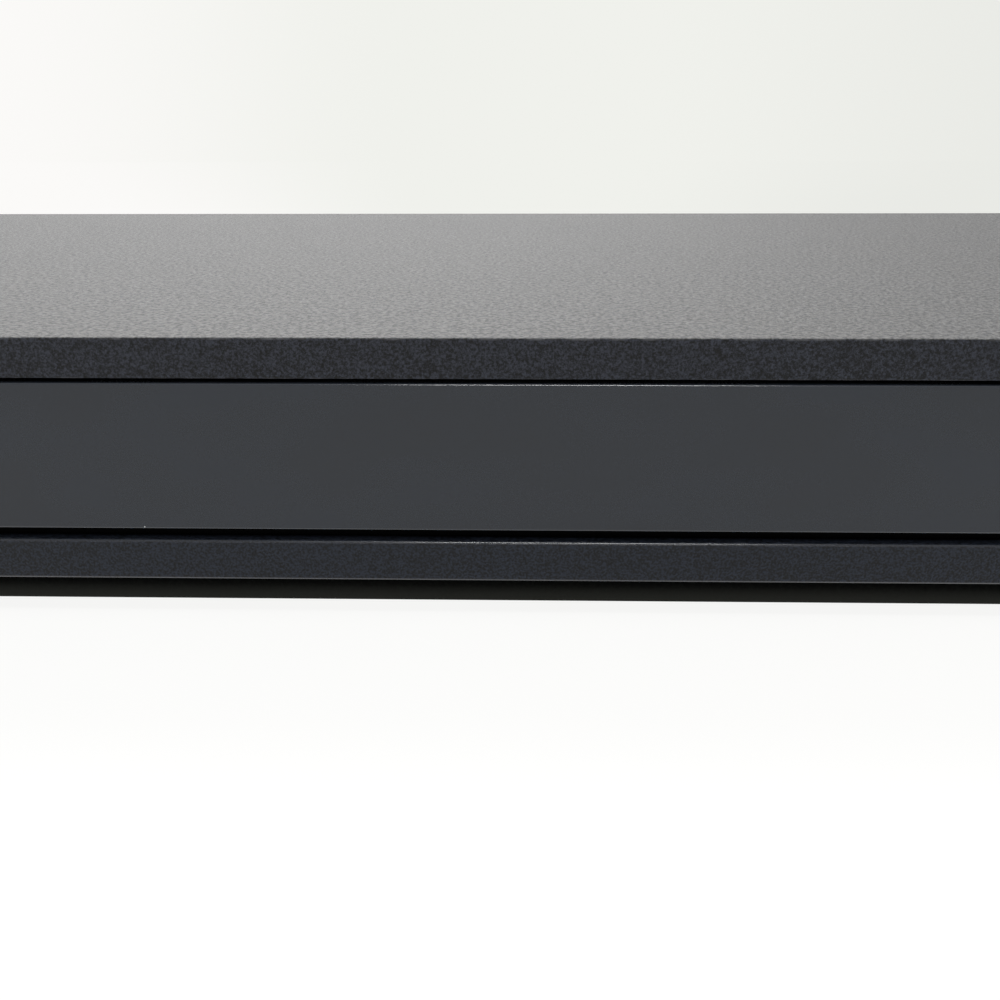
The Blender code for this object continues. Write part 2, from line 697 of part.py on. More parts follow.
def rear_holes():
    """The sockets that look out through the rear panel, as (name, x, half width, height)."""
    return [
        ("hdmi_one", HDMI_ONE_X, HDMI_HALF_WIDTH, HDMI_HEIGHT),
        ("hdmi_two", HDMI_TWO_X, HDMI_HALF_WIDTH, HDMI_HEIGHT),
        ("lan", LAN_X, LAN_HALF_WIDTH, LAN_HEIGHT),
        ("optical", OPTICAL_X, OPTICAL_HALF_WIDTH, OPTICAL_HEIGHT),
        ("inlet", INLET_X, INLET_HALF_WIDTH, INLET_HEIGHT),
    ]


def make_rear_panel(paints):
    """The rear sheet with its socket holes and vent slots."""
    panel = block(
        "rear_panel",
        (-FRONT_HALF_WIDTH, REAR_INNER, FOOT_HEIGHT),
        (FRONT_HALF_WIDTH, BACK, HEIGHT - SHEET - CLEARANCE),
    )
    for name, x, half, height in rear_holes():
        hole = block(
            f"rear_hole_{name}",
            (x - half - CLEARANCE, REAR_INNER - OVERRUN, SOCKET_BOTTOM - CLEARANCE),
            (x + half + CLEARANCE, BACK + OVERRUN, SOCKET_BOTTOM + height + CLEARANCE),
        )
        cut(panel, hole)
    for index in range(REAR_VENT_COUNT):
        x = REAR_VENT_X + index * VENT_PITCH
        bottom = FLOOR_TOP + REAR_VENT_RISE
        slot = block(
            f"rear_vent_{index}",
            (x - VENT_WIDTH / 2, REAR_INNER - OVERRUN, bottom),
            (x + VENT_WIDTH / 2, BACK + OVERRUN, bottom + REAR_VENT_HEIGHT),
        )
        cut(panel, slot)
    dress(paints["cover"], panel)


def button_places():
    """Both front buttons, as (name, x)."""
    return [("power", POWER_BUTTON_X), ("eject", EJECT_BUTTON_X)]


def make_front_frame(paints):
    """The moulding behind the fascias, with the tray's opening and the posts of the button board."""
    frame = block(
        "front_frame",
        (-FRONT_HALF_WIDTH, FRAME_FRONT, FLOOR_TOP + CLEARANCE),
        (FRONT_HALF_WIDTH, FRAME_BACK, HEIGHT - SHEET - CLEARANCE),
    )
    tray_half = TRAY_HALF_WIDTH + TRAY_OPENING_MARGIN
    opening = block(
        "frame_tray_opening",
        (-tray_half, FRAME_FRONT - OVERRUN, GEAR_BOTTOM - TRAY_OPENING_MARGIN),
        (tray_half, FRAME_BACK + OVERRUN, RAIL_TOP + TRAY_OPENING_MARGIN),
    )
    usb = block(
        "frame_usb_opening",
        (
            USB_X - USB_HALF_WIDTH - USB_FRAME_GAP,
            FRAME_FRONT - OVERRUN,
            PANEL_MIDDLE - USB_HALF_HEIGHT - USB_FRAME_GAP,
        ),
        (
            USB_X + USB_HALF_WIDTH + USB_FRAME_GAP,
            FRAME_BACK + OVERRUN,
            PANEL_MIDDLE + USB_HALF_HEIGHT + USB_FRAME_GAP,
        ),
    )
    cut(frame, opening, usb)
    start = FRAME_FRONT - OVERRUN
    length = FRAME_THICKNESS + OVERRUN + OVERRUN
    holes = [(name, x, BUTTON_RADIUS + BUTTON_FLANGE + CLEARANCE) for name, x in button_places()]
    holes.append(("remote", REMOTE_X, REMOTE_RADIUS - BUTTON_FLANGE))
    holes.append(("light", LIGHT_X, LIGHT_RADIUS + CLEARANCE))
    for name, x, radius in holes:
        cut(frame, rod(f"frame_hole_{name}", (x, start, PANEL_MIDDLE), length, radius, "Y"))
    reach = BUTTON_BOARD_FRONT - CLEARANCE - FRAME_BACK + OVERLAP
    rise = BUTTON_BOARD_HALF - BUTTON_POST_INSET
    for x in (BUTTON_BOARD_LEFT + BUTTON_POST_INSET, BUTTON_BOARD_RIGHT - BUTTON_POST_INSET):
        for z in (PANEL_MIDDLE - rise, PANEL_MIDDLE + rise):
            spot = (x, FRAME_BACK - OVERLAP, z)
            join(frame, rod("frame_post", spot, reach, BUTTON_POST_RADIUS, "Y", SMALL_SIDES))
    dress(paints["inner_plastic"], frame)


def usb_hinge():
    """The upright axis of the front door, as (x, y)."""
    return (
        USB_X - USB_DOOR_HALF_WIDTH + USB_DOOR_THICKNESS / 2,
        FRONT + USB_DOOR_THICKNESS / 2,
    )


def make_front_bars(paints):
    """The sill and the two fixed fascias beside the tray's panel."""
    half = FRONT_HALF_WIDTH
    sill = block("front_sill", (-half, FRONT, SILL_BOTTOM), (half, PANEL_BACK, SILL_TOP))
    soften(sill, EDGE_SOFTENING, 2)
    left = block("fascia_left", (-half, FRONT, PANEL_BOTTOM), (-FASCIA_INNER, PANEL_BACK, PANEL_TOP))
    right = block("fascia_right", (FASCIA_INNER, FRONT, PANEL_BOTTOM), (half, PANEL_BACK, PANEL_TOP))
    soften(left, EDGE_SOFTENING, 2)
    soften(right, EDGE_SOFTENING, 2)
    start = FRONT - OVERRUN
    length = PANEL_THICKNESS + OVERRUN + OVERRUN
    holes = [(name, x, BUTTON_RADIUS + CLEARANCE) for name, x in button_places()]
    holes.append(("remote", REMOTE_X, REMOTE_RADIUS + CLEARANCE))
    holes.append(("light", LIGHT_X, LIGHT_RADIUS + CLEARANCE))
    for name, x, radius in holes:
        cut(right, rod(f"fascia_hole_{name}", (x, start, PANEL_MIDDLE), length, radius, "Y"))
    door_half = USB_DOOR_HALF_WIDTH + CLEARANCE
    door_rise = USB_DOOR_HALF_HEIGHT + CLEARANCE
    door_hole = block(
        "fascia_door_hole",
        (USB_X - door_half, start, PANEL_MIDDLE - door_rise),
        (USB_X + door_half, PANEL_BACK + OVERRUN, PANEL_MIDDLE + door_rise),
    )
    pin_rise = door_rise + USB_PIN_REACH
    pin_hole = rod(
        "fascia_pin_hole",
        (*usb_hinge(), PANEL_MIDDLE - pin_rise),
        pin_rise + pin_rise,
        USB_PIN_RADIUS + CLEARANCE,
        sides=SMALL_SIDES,
    )
    cut(right, door_hole, pin_hole)
    dress(paints["sill"], sill)
    dress(paints["panel"], left, right)


def make_usb_door(paints):
    """The small door of the front port, turning on two pins at its left end."""
    hinge = usb_hinge()
    half = USB_DOOR_THICKNESS / 2
    right = USB_X + USB_DOOR_HALF_WIDTH
    outline = arc_points(hinge, half, math.pi / 2, 3 * math.pi / 2, SMALL_SIDES)
    outline += [(right, FRONT), (right, FRONT + USB_DOOR_THICKNESS)]
    low = PANEL_MIDDLE - USB_DOOR_HALF_HEIGHT
    high = PANEL_MIDDLE + USB_DOOR_HALF_HEIGHT
    door = prism("usb_door", outline, low, high)
    length = high - low + USB_PIN_REACH + USB_PIN_REACH
    join(door, rod("usb_door_pin", (*hinge, low - USB_PIN_REACH), length, USB_PIN_RADIUS, sides=SMALL_SIDES))
    dress(paints["panel"], door)
    follow(door, guide("usb_door_axis", (*hinge, PANEL_MIDDLE)))


def make_usb_socket(paints):
    """The front port: a metal shell with its tongue."""
    back = BUTTON_BOARD_FRONT - CLEARANCE
    front = back - USB_DEPTH
    socket = block(
        "usb_socket",
        (USB_X - USB_HALF_WIDTH, front, PANEL_MIDDLE - USB_HALF_HEIGHT),
        (USB_X + USB_HALF_WIDTH, back, PANEL_MIDDLE + USB_HALF_HEIGHT),
    )
    inner = USB_HALF_WIDTH - USB_SHELL
    rise = USB_HALF_HEIGHT - USB_SHELL
    cavity = block(
        "usb_cavity",
        (USB_X - inner, front - OVERRUN, PANEL_MIDDLE - rise),
        (USB_X + inner, back - USB_SHELL, PANEL_MIDDLE + rise),
    )
    cut(socket, cavity)
    tongue = block(
        "usb_tongue",
        (USB_X - USB_TONGUE_HALF_WIDTH, front + USB_TONGUE_SETBACK, PANEL_MIDDLE + USB_TONGUE_RISE),
        (
            USB_X + USB_TONGUE_HALF_WIDTH,
            back - USB_SHELL / 2,
            PANEL_MIDDLE + USB_TONGUE_RISE + USB_TONGUE_THICKNESS,
        ),
    )
    join(socket, tongue)
    dress(paints["plated_metal"], socket)


def make_controls(paints):
    """Buttons, their switches and board, the remote window and the light pipe."""
    board = block(
        "button_board",
        (BUTTON_BOARD_LEFT, BUTTON_BOARD_FRONT, PANEL_MIDDLE - BUTTON_BOARD_HALF),
        (BUTTON_BOARD_RIGHT, BUTTON_BOARD_FRONT + BOARD_THICKNESS, PANEL_MIDDLE + BUTTON_BOARD_HALF),
    )
    dress(paints["board"], board)
    switch_back = BUTTON_BOARD_FRONT - CLEARANCE
    switch_front = switch_back - SWITCH_HEIGHT
    tip = switch_front - PLUNGER_HEIGHT
    start = FRONT
    flange_start = PANEL_BACK + CLEARANCE - start
    flange_end = flange_start + BUTTON_FLANGE_THICKNESS
    flange_radius = BUTTON_RADIUS + BUTTON_FLANGE
    stem_end = tip - BUTTON_TRAVEL - CLEARANCE - start
    profile = [
        (0, 0),
        (BUTTON_RADIUS - EDGE_SOFTENING, 0),
        (BUTTON_RADIUS, EDGE_SOFTENING),
        (BUTTON_RADIUS, flange_start),
        (flange_radius, flange_start),
        (flange_radius, flange_end),
        (BUTTON_STEM_RADIUS, flange_end),
        (BUTTON_STEM_RADIUS, stem_end),
        (0, stem_end),
    ]
    for name, x in button_places():
        button = turned(f"{name}_button", (x, start, PANEL_MIDDLE), profile, "Y")
        dress(paints["panel"], button)
        switch = block(
            f"{name}_switch",
            (x - SWITCH_HALF, switch_front, PANEL_MIDDLE - SWITCH_HALF),
            (x + SWITCH_HALF, switch_back, PANEL_MIDDLE + SWITCH_HALF),
        )
        plunger = rod(
            f"{name}_plunger",
            (x, tip, PANEL_MIDDLE),
            PLUNGER_HEIGHT + OVERLAP,
            PLUNGER_RADIUS,
            "Y",
            SMALL_SIDES,
        )
        join(switch, plunger)
        dress(paints["black_plastic"], switch)
    window = rod("remote_window", (REMOTE_X, FRONT, PANEL_MIDDLE), PANEL_THICKNESS, REMOTE_RADIUS, "Y")
    dress(paints["dark_window"], window)
    reach = BUTTON_BOARD_FRONT - CLEARANCE - FRONT
    pipe = rod("status_light_pipe", (LIGHT_X, FRONT, PANEL_MIDDLE), reach, LIGHT_RADIUS, "Y", SMALL_SIDES)
    dress(paints["light_pipe"], pipe)


def make_feet(paints):
    """Four round feet, each with a rubber pad let into its underside."""
    top = FOOT_HEIGHT - CLEARANCE
    bottom = PAD_DROP
    recess = PAD_RADIUS + CLEARANCE
    foot_profile = [
        (0, PAD_RECESS),
        (recess, PAD_RECESS),
        (recess, 0),
        (FOOT_RADIUS - EDGE_SOFTENING, 0),
        (FOOT_RADIUS, EDGE_SOFTENING),
        (FOOT_RADIUS, top - bottom),
        (0, top - bottom),
    ]
    pad_top = bottom + PAD_RECESS - CLEARANCE
    pad_profile = [(0, 0), (PAD_RADIUS, 0), (PAD_RADIUS, pad_top), (0, pad_top)]
    rows = [("front", FRONT + FOOT_INSET_Y), ("rear", BACK - FOOT_INSET_Y)]
    columns = [("left", FOOT_INSET_X - WIDTH / 2), ("right", WIDTH / 2 - FOOT_INSET_X)]
    for row, y in rows:
        for column, x in columns:
            foot = turned(f"foot_{row}_{column}", (x, y, bottom), foot_profile)
            pad = turned(f"pad_{row}_{column}", (x, y, 0), pad_profile)
            dress(paints["black_plastic"], foot)
            dress(paints["rubber"], pad)
            follow(pad, foot)


def gear_outline(teeth, centre, turn=0):
    """An involute gear's outline with its first tooth at the given angle."""
    pitch_radius = GEAR_MODULE * teeth / 2
    base_radius = pitch_radius * math.cos(PRESSURE_ANGLE)
    tip_radius = pitch_radius + GEAR_MODULE * TOOTH_TIP_SHARE
    root_radius = pitch_radius - GEAR_MODULE * TOOTH_ROOT_SHARE
    half_tooth = (math.pi * GEAR_MODULE - TOOTH_BACKLASH) / 4 / pitch_radius
    involute = math.tan(PRESSURE_ANGLE) - PRESSURE_ANGLE
    flank = []
    start = max(base_radius, root_radius)
    if root_radius < base_radius:
        flank.append((root_radius, half_tooth + involute))
    for step in range(FLANK_STEPS + 1):
        radius = start + (tip_radius - start) * step / FLANK_STEPS
        slope = math.acos(base_radius / radius)
        flank.append((radius, half_tooth + involute - math.tan(slope) + slope))
    points = []
    for index in range(teeth):
        middle = turn + math.tau * index / teeth
        tooth = [(radius, middle - half) for radius, half in flank]
        tooth += [(radius, middle + half) for radius, half in reversed(flank)]
        for radius, angle in tooth:
            points.append((centre[0] + radius * math.cos(angle), centre[1] + radius * math.sin(angle)))
    return points


def rack_outline():
    """The rack's outline, with a space facing the tray gear when the tray is shut."""
    pitch = math.pi * GEAR_MODULE
    tip = GEAR_MODULE * TOOTH_TIP_SHARE
    root = GEAR_MODULE * TOOTH_ROOT_SHARE
    lean = math.tan(PRESSURE_ANGLE)
    half = (pitch - TOOTH_BACKLASH) / 4
    first = GEAR_Y - pitch * 3 / 2
    points = [(RACK_BACK_X, first - pitch)]
    points.append((RACK_X + root, first - pitch))
    for index in range(RACK_TEETH):
        middle = first + index * pitch
        points.append((RACK_X + root, middle - half - root * lean))
        points.append((RACK_X - tip, middle - half + tip * lean))
        points.append((RACK_X - tip, middle + half - tip * lean))
        points.append((RACK_X + root, middle + half + root * lean))
    last = first + RACK_TEETH * pitch
    points.append((RACK_X + root, last))
    points.append((RACK_BACK_X, last))
    return points


def make_disc_tray(paints):
    """The tray with its two wells, open spindle slot, side rails and rack, and the panel on its front."""
    plate_half = TRAY_HALF_WIDTH - RAIL_WIDTH
    tray = block("disc_tray", (-plate_half, TRAY_FRONT, TRAY_BOTTOM), (plate_half, TRAY_REAR, TRAY_TOP))
    for side in (-1, 1):
        edges = sorted((side * (plate_half - OVERLAP), side * TRAY_HALF_WIDTH))
        rail = block(
            f"tray_rail_{side}", (edges[0], TRAY_FRONT, RAIL_BOTTOM), (edges[1], TRAY_REAR, RAIL_TOP)
        )
        join(tray, rail)
    top = TRAY_TOP + OVERRUN
    well = rod("tray_well", (0, SPINDLE_Y, WELL_FLOOR), top - WELL_FLOOR, WELL_RADIUS, sides=WELL_SIDES)
    small_floor = WELL_FLOOR - SMALL_WELL_DEPTH
    small_rise = top - small_floor
    small_base = (0, SPINDLE_Y, small_floor)
    small = rod("tray_small_well", small_base, small_rise, SMALL_WELL_RADIUS, sides=WELL_SIDES)
    slot_points = arc_points((0, SPINDLE_Y), SLOT_HALF_WIDTH, math.pi, math.tau, ROUND_SIDES)
    slot_points += [(SLOT_HALF_WIDTH, TRAY_REAR + OVERRUN), (-SLOT_HALF_WIDTH, TRAY_REAR + OVERRUN)]
    slot = prism("tray_slot", slot_points, TRAY_BOTTOM - OVERRUN, top)
    cut(tray, well, small, slot)
    rack = prism("tray_rack", rack_outline(), GEAR_BOTTOM + OVERLAP, TRAY_BOTTOM + OVERLAP)
    join(tray, rack)
    panel = block(
        "tray_panel",
        (-TRAY_PANEL_HALF_WIDTH, FRONT, PANEL_BOTTOM),
        (TRAY_PANEL_HALF_WIDTH, PANEL_BACK, PANEL_TOP),
    )
    soften(panel, EDGE_SOFTENING, 2)
    dress(paints["black_plastic"], tray)
    dress(paints["panel"], panel)
    travel = guide("tray_travel", (0, FRONT, TRAY_BOTTOM))
    follow(tray, travel)
    follow(panel, travel)


def make_loader_frame(paints):
    """The loader's frame: deck, side walls with tray guides, ears, hinge bearings and gear axles."""
    frame = block(
        "loader_frame",
        (-LOADER_OUTER, LOADER_FRONT, DECK_BOTTOM),
        (LOADER_OUTER, LOADER_REAR, LOADER_WALL_TOP),
    )
    channel = block(
        "loader_channel",
        (-LOADER_INNER, LOADER_FRONT - OVERRUN, DECK_TOP),
        (LOADER_INNER, LOADER_REAR + OVERRUN, LOADER_WALL_TOP + OVERRUN),
    )
    window = block(
        "loader_window",
        (-WINDOW_HALF, GUIDE_REAR, DECK_BOTTOM - OVERRUN),
        (WINDOW_HALF, TRAVERSE_REAR + TRAVERSE_SIDE_GAP, DECK_TOP + OVERRUN),
    )
    motor_hole = rod(
        "loader_motor_hole",
        (MOTOR_X, GEAR_Y, DECK_BOTTOM - OVERRUN),
        DECK_THICKNESS + OVERRUN + OVERRUN,
        MOTOR_BOSS_RADIUS + CLEARANCE,
    )
    cut(frame, channel, window, motor_hole)
    ledge_top = RAIL_BOTTOM - CLEARANCE
    lip_bottom = RAIL_TOP + CLEARANCE
    ear_front = LOADER_FRONT + EAR_INSET_FRONT
    ear_rear = LOADER_REAR - EAR_INSET_REAR - EAR_LENGTH
    start = LOADER_FRONT + OVERLAP
    end = LOADER_REAR - OVERLAP
    for side in (-1, 1):
        spans = [
            ("ledge", LOADER_INNER - LEDGE_WIDTH, LOADER_INNER + OVERLAP, start, end,
             ledge_top - LEDGE_THICKNESS, ledge_top),
            ("lip", LOADER_INNER - LIP_WIDTH, LOADER_INNER + OVERLAP, start, end,
             lip_bottom, lip_bottom + LIP_THICKNESS),
            ("ear_front", LOADER_OUTER - OVERLAP, EAR_OUTER, ear_front, ear_front + EAR_LENGTH,
             DECK_BOTTOM, DECK_TOP),
            ("ear_rear", LOADER_OUTER - OVERLAP, EAR_OUTER, ear_rear, ear_rear + EAR_LENGTH,
             DECK_BOTTOM, DECK_TOP),
            ("bearing", WINDOW_HALF, WINDOW_HALF + HINGE_EAR_WIDTH, HINGE_Y - HINGE_EAR_HALF,
             HINGE_Y + HINGE_EAR_HALF, HINGE_HEIGHT - HINGE_EAR_HALF, HINGE_HEIGHT + HINGE_EAR_HALF),
        ]
        for name, near, far, front, back, low, high in spans:
            edges = sorted((side * near, side * far))
            join(frame, block(f"loader_{name}_{side}", (edges[0], front, low), (edges[1], back, high)))
    guide_bottom = CAM_BOTTOM - CLEARANCE - CAM_LEDGE_THICKNESS
    guide_shelf = CAM_BOTTOM - CLEARANCE
    rib = prism(
        "loader_cam_guide",
        [
            (GUIDE_FRONT, guide_bottom),
            (CAM_REAR + CLEARANCE, guide_bottom),
            (CAM_REAR + CLEARANCE, guide_shelf),
            (GUIDE_REAR, guide_shelf),
            (GUIDE_REAR, DECK_BOTTOM + OVERLAP),
            (GUIDE_FRONT, DECK_BOTTOM + OVERLAP),
        ],
        -CAM_HALF_LENGTH,
        CAM_HALF_LENGTH + CAM_TRAVEL,
        "X",
    )
    base = DECK_TOP - OVERLAP
    spacer = GEAR_BOTTOM - CLEARANCE - base
    axle = GEAR_TOP + AXLE_TOP - base
    tray_axle = turned(
        "loader_tray_axle",
        (TRAY_GEAR_X, GEAR_Y, base),
        [
            (0, 0),
            (SPACER_RADIUS, 0),
            (SPACER_RADIUS, spacer),
            (AXLE_RADIUS, spacer),
            (AXLE_RADIUS, axle),
            (0, axle),
        ],
        sides=SMALL_SIDES,
    )
    pinion_axle = rod("loader_pinion_axle", (PINION_X, GEAR_Y, base), axle, AXLE_RADIUS, sides=SMALL_SIDES)
    join(frame, rib, tray_axle, pinion_axle)
    reach = WINDOW_HALF + HINGE_EAR_WIDTH
    bore = HINGE_PIN_RADIUS + CLEARANCE
    pin_hole = rod("loader_hinge_hole", (-reach, HINGE_Y, HINGE_HEIGHT), reach + reach, bore, "X")
    cut(frame, pin_hole)
    dress(paints["inner_plastic"], frame)


def belt_route():
    """The belt's centre line round both pulleys, as an open list of points for a closed loop."""
    reach = BELT_RADIUS + CLEARANCE - BELT_GROOVE_DEPTH
    large = PULLEY_RADIUS + reach
    small = MOTOR_PULLEY_RADIUS + reach
    lean = math.acos((large - small) / BELT_SPAN)
    around_large = arc_points((PINION_X, GEAR_Y), large, lean - math.pi, math.pi - lean, ROUND_SIDES)
    around_small = arc_points((MOTOR_X, GEAR_Y), small, math.pi - lean, math.pi + lean, SMALL_SIDES)
    return [(x, y, BELT_HEIGHT) for x, y in around_large + around_small]


def tube(name, points, radius, closed=False):
    """A round tube along points."""
    curve = bpy.data.curves.new(name, "CURVE")
    curve.dimensions = "3D"
    curve.bevel_depth = radius
    curve.bevel_resolution = 2
    curve.use_fill_caps = not closed
    line = curve.splines.new("POLY")
    line.points.add(len(points) - 1)
    for point, spot in zip(line.points, points):
        point.co = (*spot, 1)
    line.use_cyclic_u = closed
    item = bpy.data.objects.new(name, curve)
    bpy.context.scene.collection.objects.link(item)
    return item


def pulley_profile(radius, start=0):
    """A flanged pulley's outline from its lower rim to its upper rim."""
    groove = radius - BELT_GROOVE_DEPTH
    flange = (PULLEY_THICKNESS - PULLEY_GROOVE_WIDTH) / 2
    return [
        (radius, start),
        (radius, start + flange),
        (groove, start + flange),
        (groove, start + flange + PULLEY_GROOVE_WIDTH),
        (radius, start + flange + PULLEY_GROOVE_WIDTH),
        (radius, start + PULLEY_THICKNESS),
        (0, start + PULLEY_THICKNESS),
    ]


def make_loading_drive(paints):
    """The motor, belt and gears that move the tray."""
    outline = gear_outline(TRAY_GEAR_TEETH, (TRAY_GEAR_X, GEAR_Y))
    tray_gear = prism("tray_gear", outline, GEAR_BOTTOM, GEAR_TOP)
    bore_radius = AXLE_RADIUS + CLEARANCE
    bore_start = PULLEY_BOTTOM - OVERRUN
    bore_length = GEAR_TOP - bore_start + OVERRUN
    cut(tray_gear, rod("tray_gear_bore", (TRAY_GEAR_X, GEAR_Y, bore_start), bore_length, bore_radius))
    profile = [(0, 0)] + pulley_profile(PULLEY_RADIUS)
    pulley = turned("pulley_gear", (PINION_X, GEAR_Y, PULLEY_BOTTOM), profile)
    turn = math.pi / PINION_TEETH
    pinion = prism(
        "pulley_pinion", gear_outline(PINION_TEETH, (PINION_X, GEAR_Y), turn), PULLEY_TOP - OVERLAP, GEAR_TOP
    )
    join(pulley, pinion)
    cut(pulley, rod("pulley_bore", (PINION_X, GEAR_Y, bore_start), bore_length, bore_radius))
    belt = tube("drive_belt", belt_route(), BELT_RADIUS, closed=True)
    motor_top = DECK_BOTTOM - CLEARANCE
    motor_bottom = motor_top - MOTOR_HEIGHT
    boss = DECK_TOP - motor_bottom
    motor = turned(
        "loading_motor",
        (MOTOR_X, GEAR_Y, motor_bottom),
        [
            (0, 0),
            (MOTOR_RADIUS, 0),
            (MOTOR_RADIUS, MOTOR_HEIGHT),
            (MOTOR_BOSS_RADIUS, MOTOR_HEIGHT),
            (MOTOR_BOSS_RADIUS, boss),
            (0, boss),
        ],
    )
    shaft_bottom = DECK_TOP - MOTOR_SHAFT_DEPTH
    bore = rod(
        "motor_bore",
        (MOTOR_X, GEAR_Y, shaft_bottom - CLEARANCE),
        MOTOR_SHAFT_DEPTH + OVERRUN,
        MOTOR_SHAFT_RADIUS + CLEARANCE,
        sides=SMALL_SIDES,
    )
    cut(motor, bore)
    rise = PULLEY_BOTTOM - shaft_bottom
    profile = [(0, 0), (MOTOR_SHAFT_RADIUS, 0), (MOTOR_SHAFT_RADIUS, rise)]
    profile += pulley_profile(MOTOR_PULLEY_RADIUS, rise)
    motor_pulley = turned("motor_pulley", (MOTOR_X, GEAR_Y, shaft_bottom), profile, sides=SMALL_SIDES)
    dress(paints["white_plastic"], tray_gear, pulley, motor_pulley)
    dress(paints["rubber"], belt)
    dress(paints["plated_metal"], motor)


def make_clamper(paints):
    """The bridge over the tray and the puck that hangs in it."""
    start = SPINDLE_Y - BRIDGE_HALF_WIDTH
    end = SPINDLE_Y + BRIDGE_HALF_WIDTH
    rim_top = BRIDGE_BOTTOM + BRIDGE_RIM_HEIGHT
    outline = [
        (start, BRIDGE_BOTTOM),
        (end, BRIDGE_BOTTOM),
        (end, rim_top),
        (end - BRIDGE_THICKNESS, rim_top),
        (end - BRIDGE_THICKNESS, BRIDGE_TOP),
        (start + BRIDGE_THICKNESS, BRIDGE_TOP),
        (start + BRIDGE_THICKNESS, rim_top),
        (start, rim_top),
    ]
    bridge = prism("clamper_bridge", outline, -LOADER_OUTER, LOADER_OUTER, "X")
    hole = rod(
        "bridge_hole",
        (0, SPINDLE_Y, BRIDGE_BOTTOM - OVERRUN),
        BRIDGE_THICKNESS + OVERRUN + OVERRUN,
        PUCK_NECK_RADIUS + PUCK_PLAY,
    )
    cut(bridge, hole)
    bottom = TURNTABLE_TOP + PUCK_LIFT
    shoulder = BRIDGE_BOTTOM - PUCK_PLAY - bottom
    flange = BRIDGE_TOP + CLEARANCE - bottom
    top = flange + PUCK_FLANGE_THICKNESS
    profile = [
        (0, PUCK_RECESS_DEPTH),
        (PUCK_RECESS_RADIUS, PUCK_RECESS_DEPTH),
        (PUCK_RECESS_RADIUS, 0),
        (PUCK_RADIUS, 0),
        (PUCK_RADIUS, shoulder),
        (PUCK_NECK_RADIUS, shoulder),
        (PUCK_NECK_RADIUS, flange),
        (PUCK_FLANGE_RADIUS, flange),
        (PUCK_FLANGE_RADIUS, top),
        (0, top),
    ]
    puck = turned("clamper_puck", (0, SPINDLE_Y, bottom), profile)
    dress(paints["plated_metal"], bridge)
    dress(paints["black_plastic"], puck)


def make_traverse(paints):
    """The tilting frame with its window, shaft holders and pins."""
    frame = block(
        "traverse_frame",
        (-TRAVERSE_HALF_WIDTH, TRAVERSE_FRONT, TRAVERSE_BOTTOM),
        (TRAVERSE_HALF_WIDTH, TRAVERSE_REAR, TRAVERSE_TOP),
    )
    window = block(
        "traverse_window",
        (-PICKUP_WINDOW_HALF, SPINDLE_Y + PICKUP_WINDOW_FRONT, TRAVERSE_BOTTOM - OVERRUN),
        (PICKUP_WINDOW_HALF, SPINDLE_Y + PICKUP_WINDOW_REAR, TRAVERSE_TOP + OVERRUN),
    )
    spindle_hole = rod(
        "traverse_spindle_hole",
        (0, SPINDLE_Y, TRAVERSE_BOTTOM - OVERRUN),
        TRAVERSE_THICKNESS + OVERRUN + OVERRUN,
        SPINDLE_HOLE_RADIUS,
    )
    cut(frame, window, spindle_hole)
    front = SPINDLE_Y + SHAFT_FRONT
    rear = SPINDLE_Y + SHAFT_REAR
    low = TRAVERSE_TOP - OVERLAP
    high = SHAFT_HEIGHT + HOLDER_HALF
    near = SHAFT_SPACING - HOLDER_HALF
    far = SHAFT_SPACING + HOLDER_HALF
    holders = [
        ("front_left", -far, -near, front),
        ("front_right", near, SCREW_X + HOLDER_HALF, front),
        ("rear_left", -far, -near, rear - HOLDER_LENGTH),
        ("rear_right", near, far, rear - HOLDER_LENGTH),
    ]
    for name, left, right, start in holders:
        join(frame, block(f"holder_{name}", (left, start, low), (right, start + HOLDER_LENGTH, high)))
    length = rear - front + OVERRUN + OVERRUN
    for side in (-1, 1):
        spot = (side * SHAFT_SPACING, front - OVERRUN, SHAFT_HEIGHT)
        cut(frame, rod(f"holder_hole_{side}", spot, length, SHAFT_RADIUS + CLEARANCE, "Y"))
    screw_spot = (SCREW_X, front - OVERRUN, SHAFT_HEIGHT)
    screw_length = HOLDER_LENGTH + OVERRUN + OVERRUN
    cut(frame, rod("screw_hole", screw_spot, screw_length, SCREW_RADIUS + CLEARANCE, "Y"))
    pin_length = HINGE_PIN_REACH + OVERLAP
    for side, base in ((-1, -TRAVERSE_HALF_WIDTH - HINGE_PIN_REACH), (1, TRAVERSE_HALF_WIDTH - OVERLAP)):
        spot = (base, HINGE_Y, HINGE_HEIGHT)
        join(frame, rod(f"hinge_pin_{side}", spot, pin_length, HINGE_PIN_RADIUS, "X", SMALL_SIDES))
    cam_pin = rod(
        "cam_pin",
        (CAM_PIN_X, CAM_FRONT, HINGE_HEIGHT),
        TRAVERSE_FRONT - CAM_FRONT + OVERLAP,
        CAM_PIN_RADIUS,
        "Y",
        SMALL_SIDES,
    )
    join(frame, cam_pin)
    dress(paints["plated_metal"], frame)
    follow(frame, bpy.data.objects["traverse_axis"])


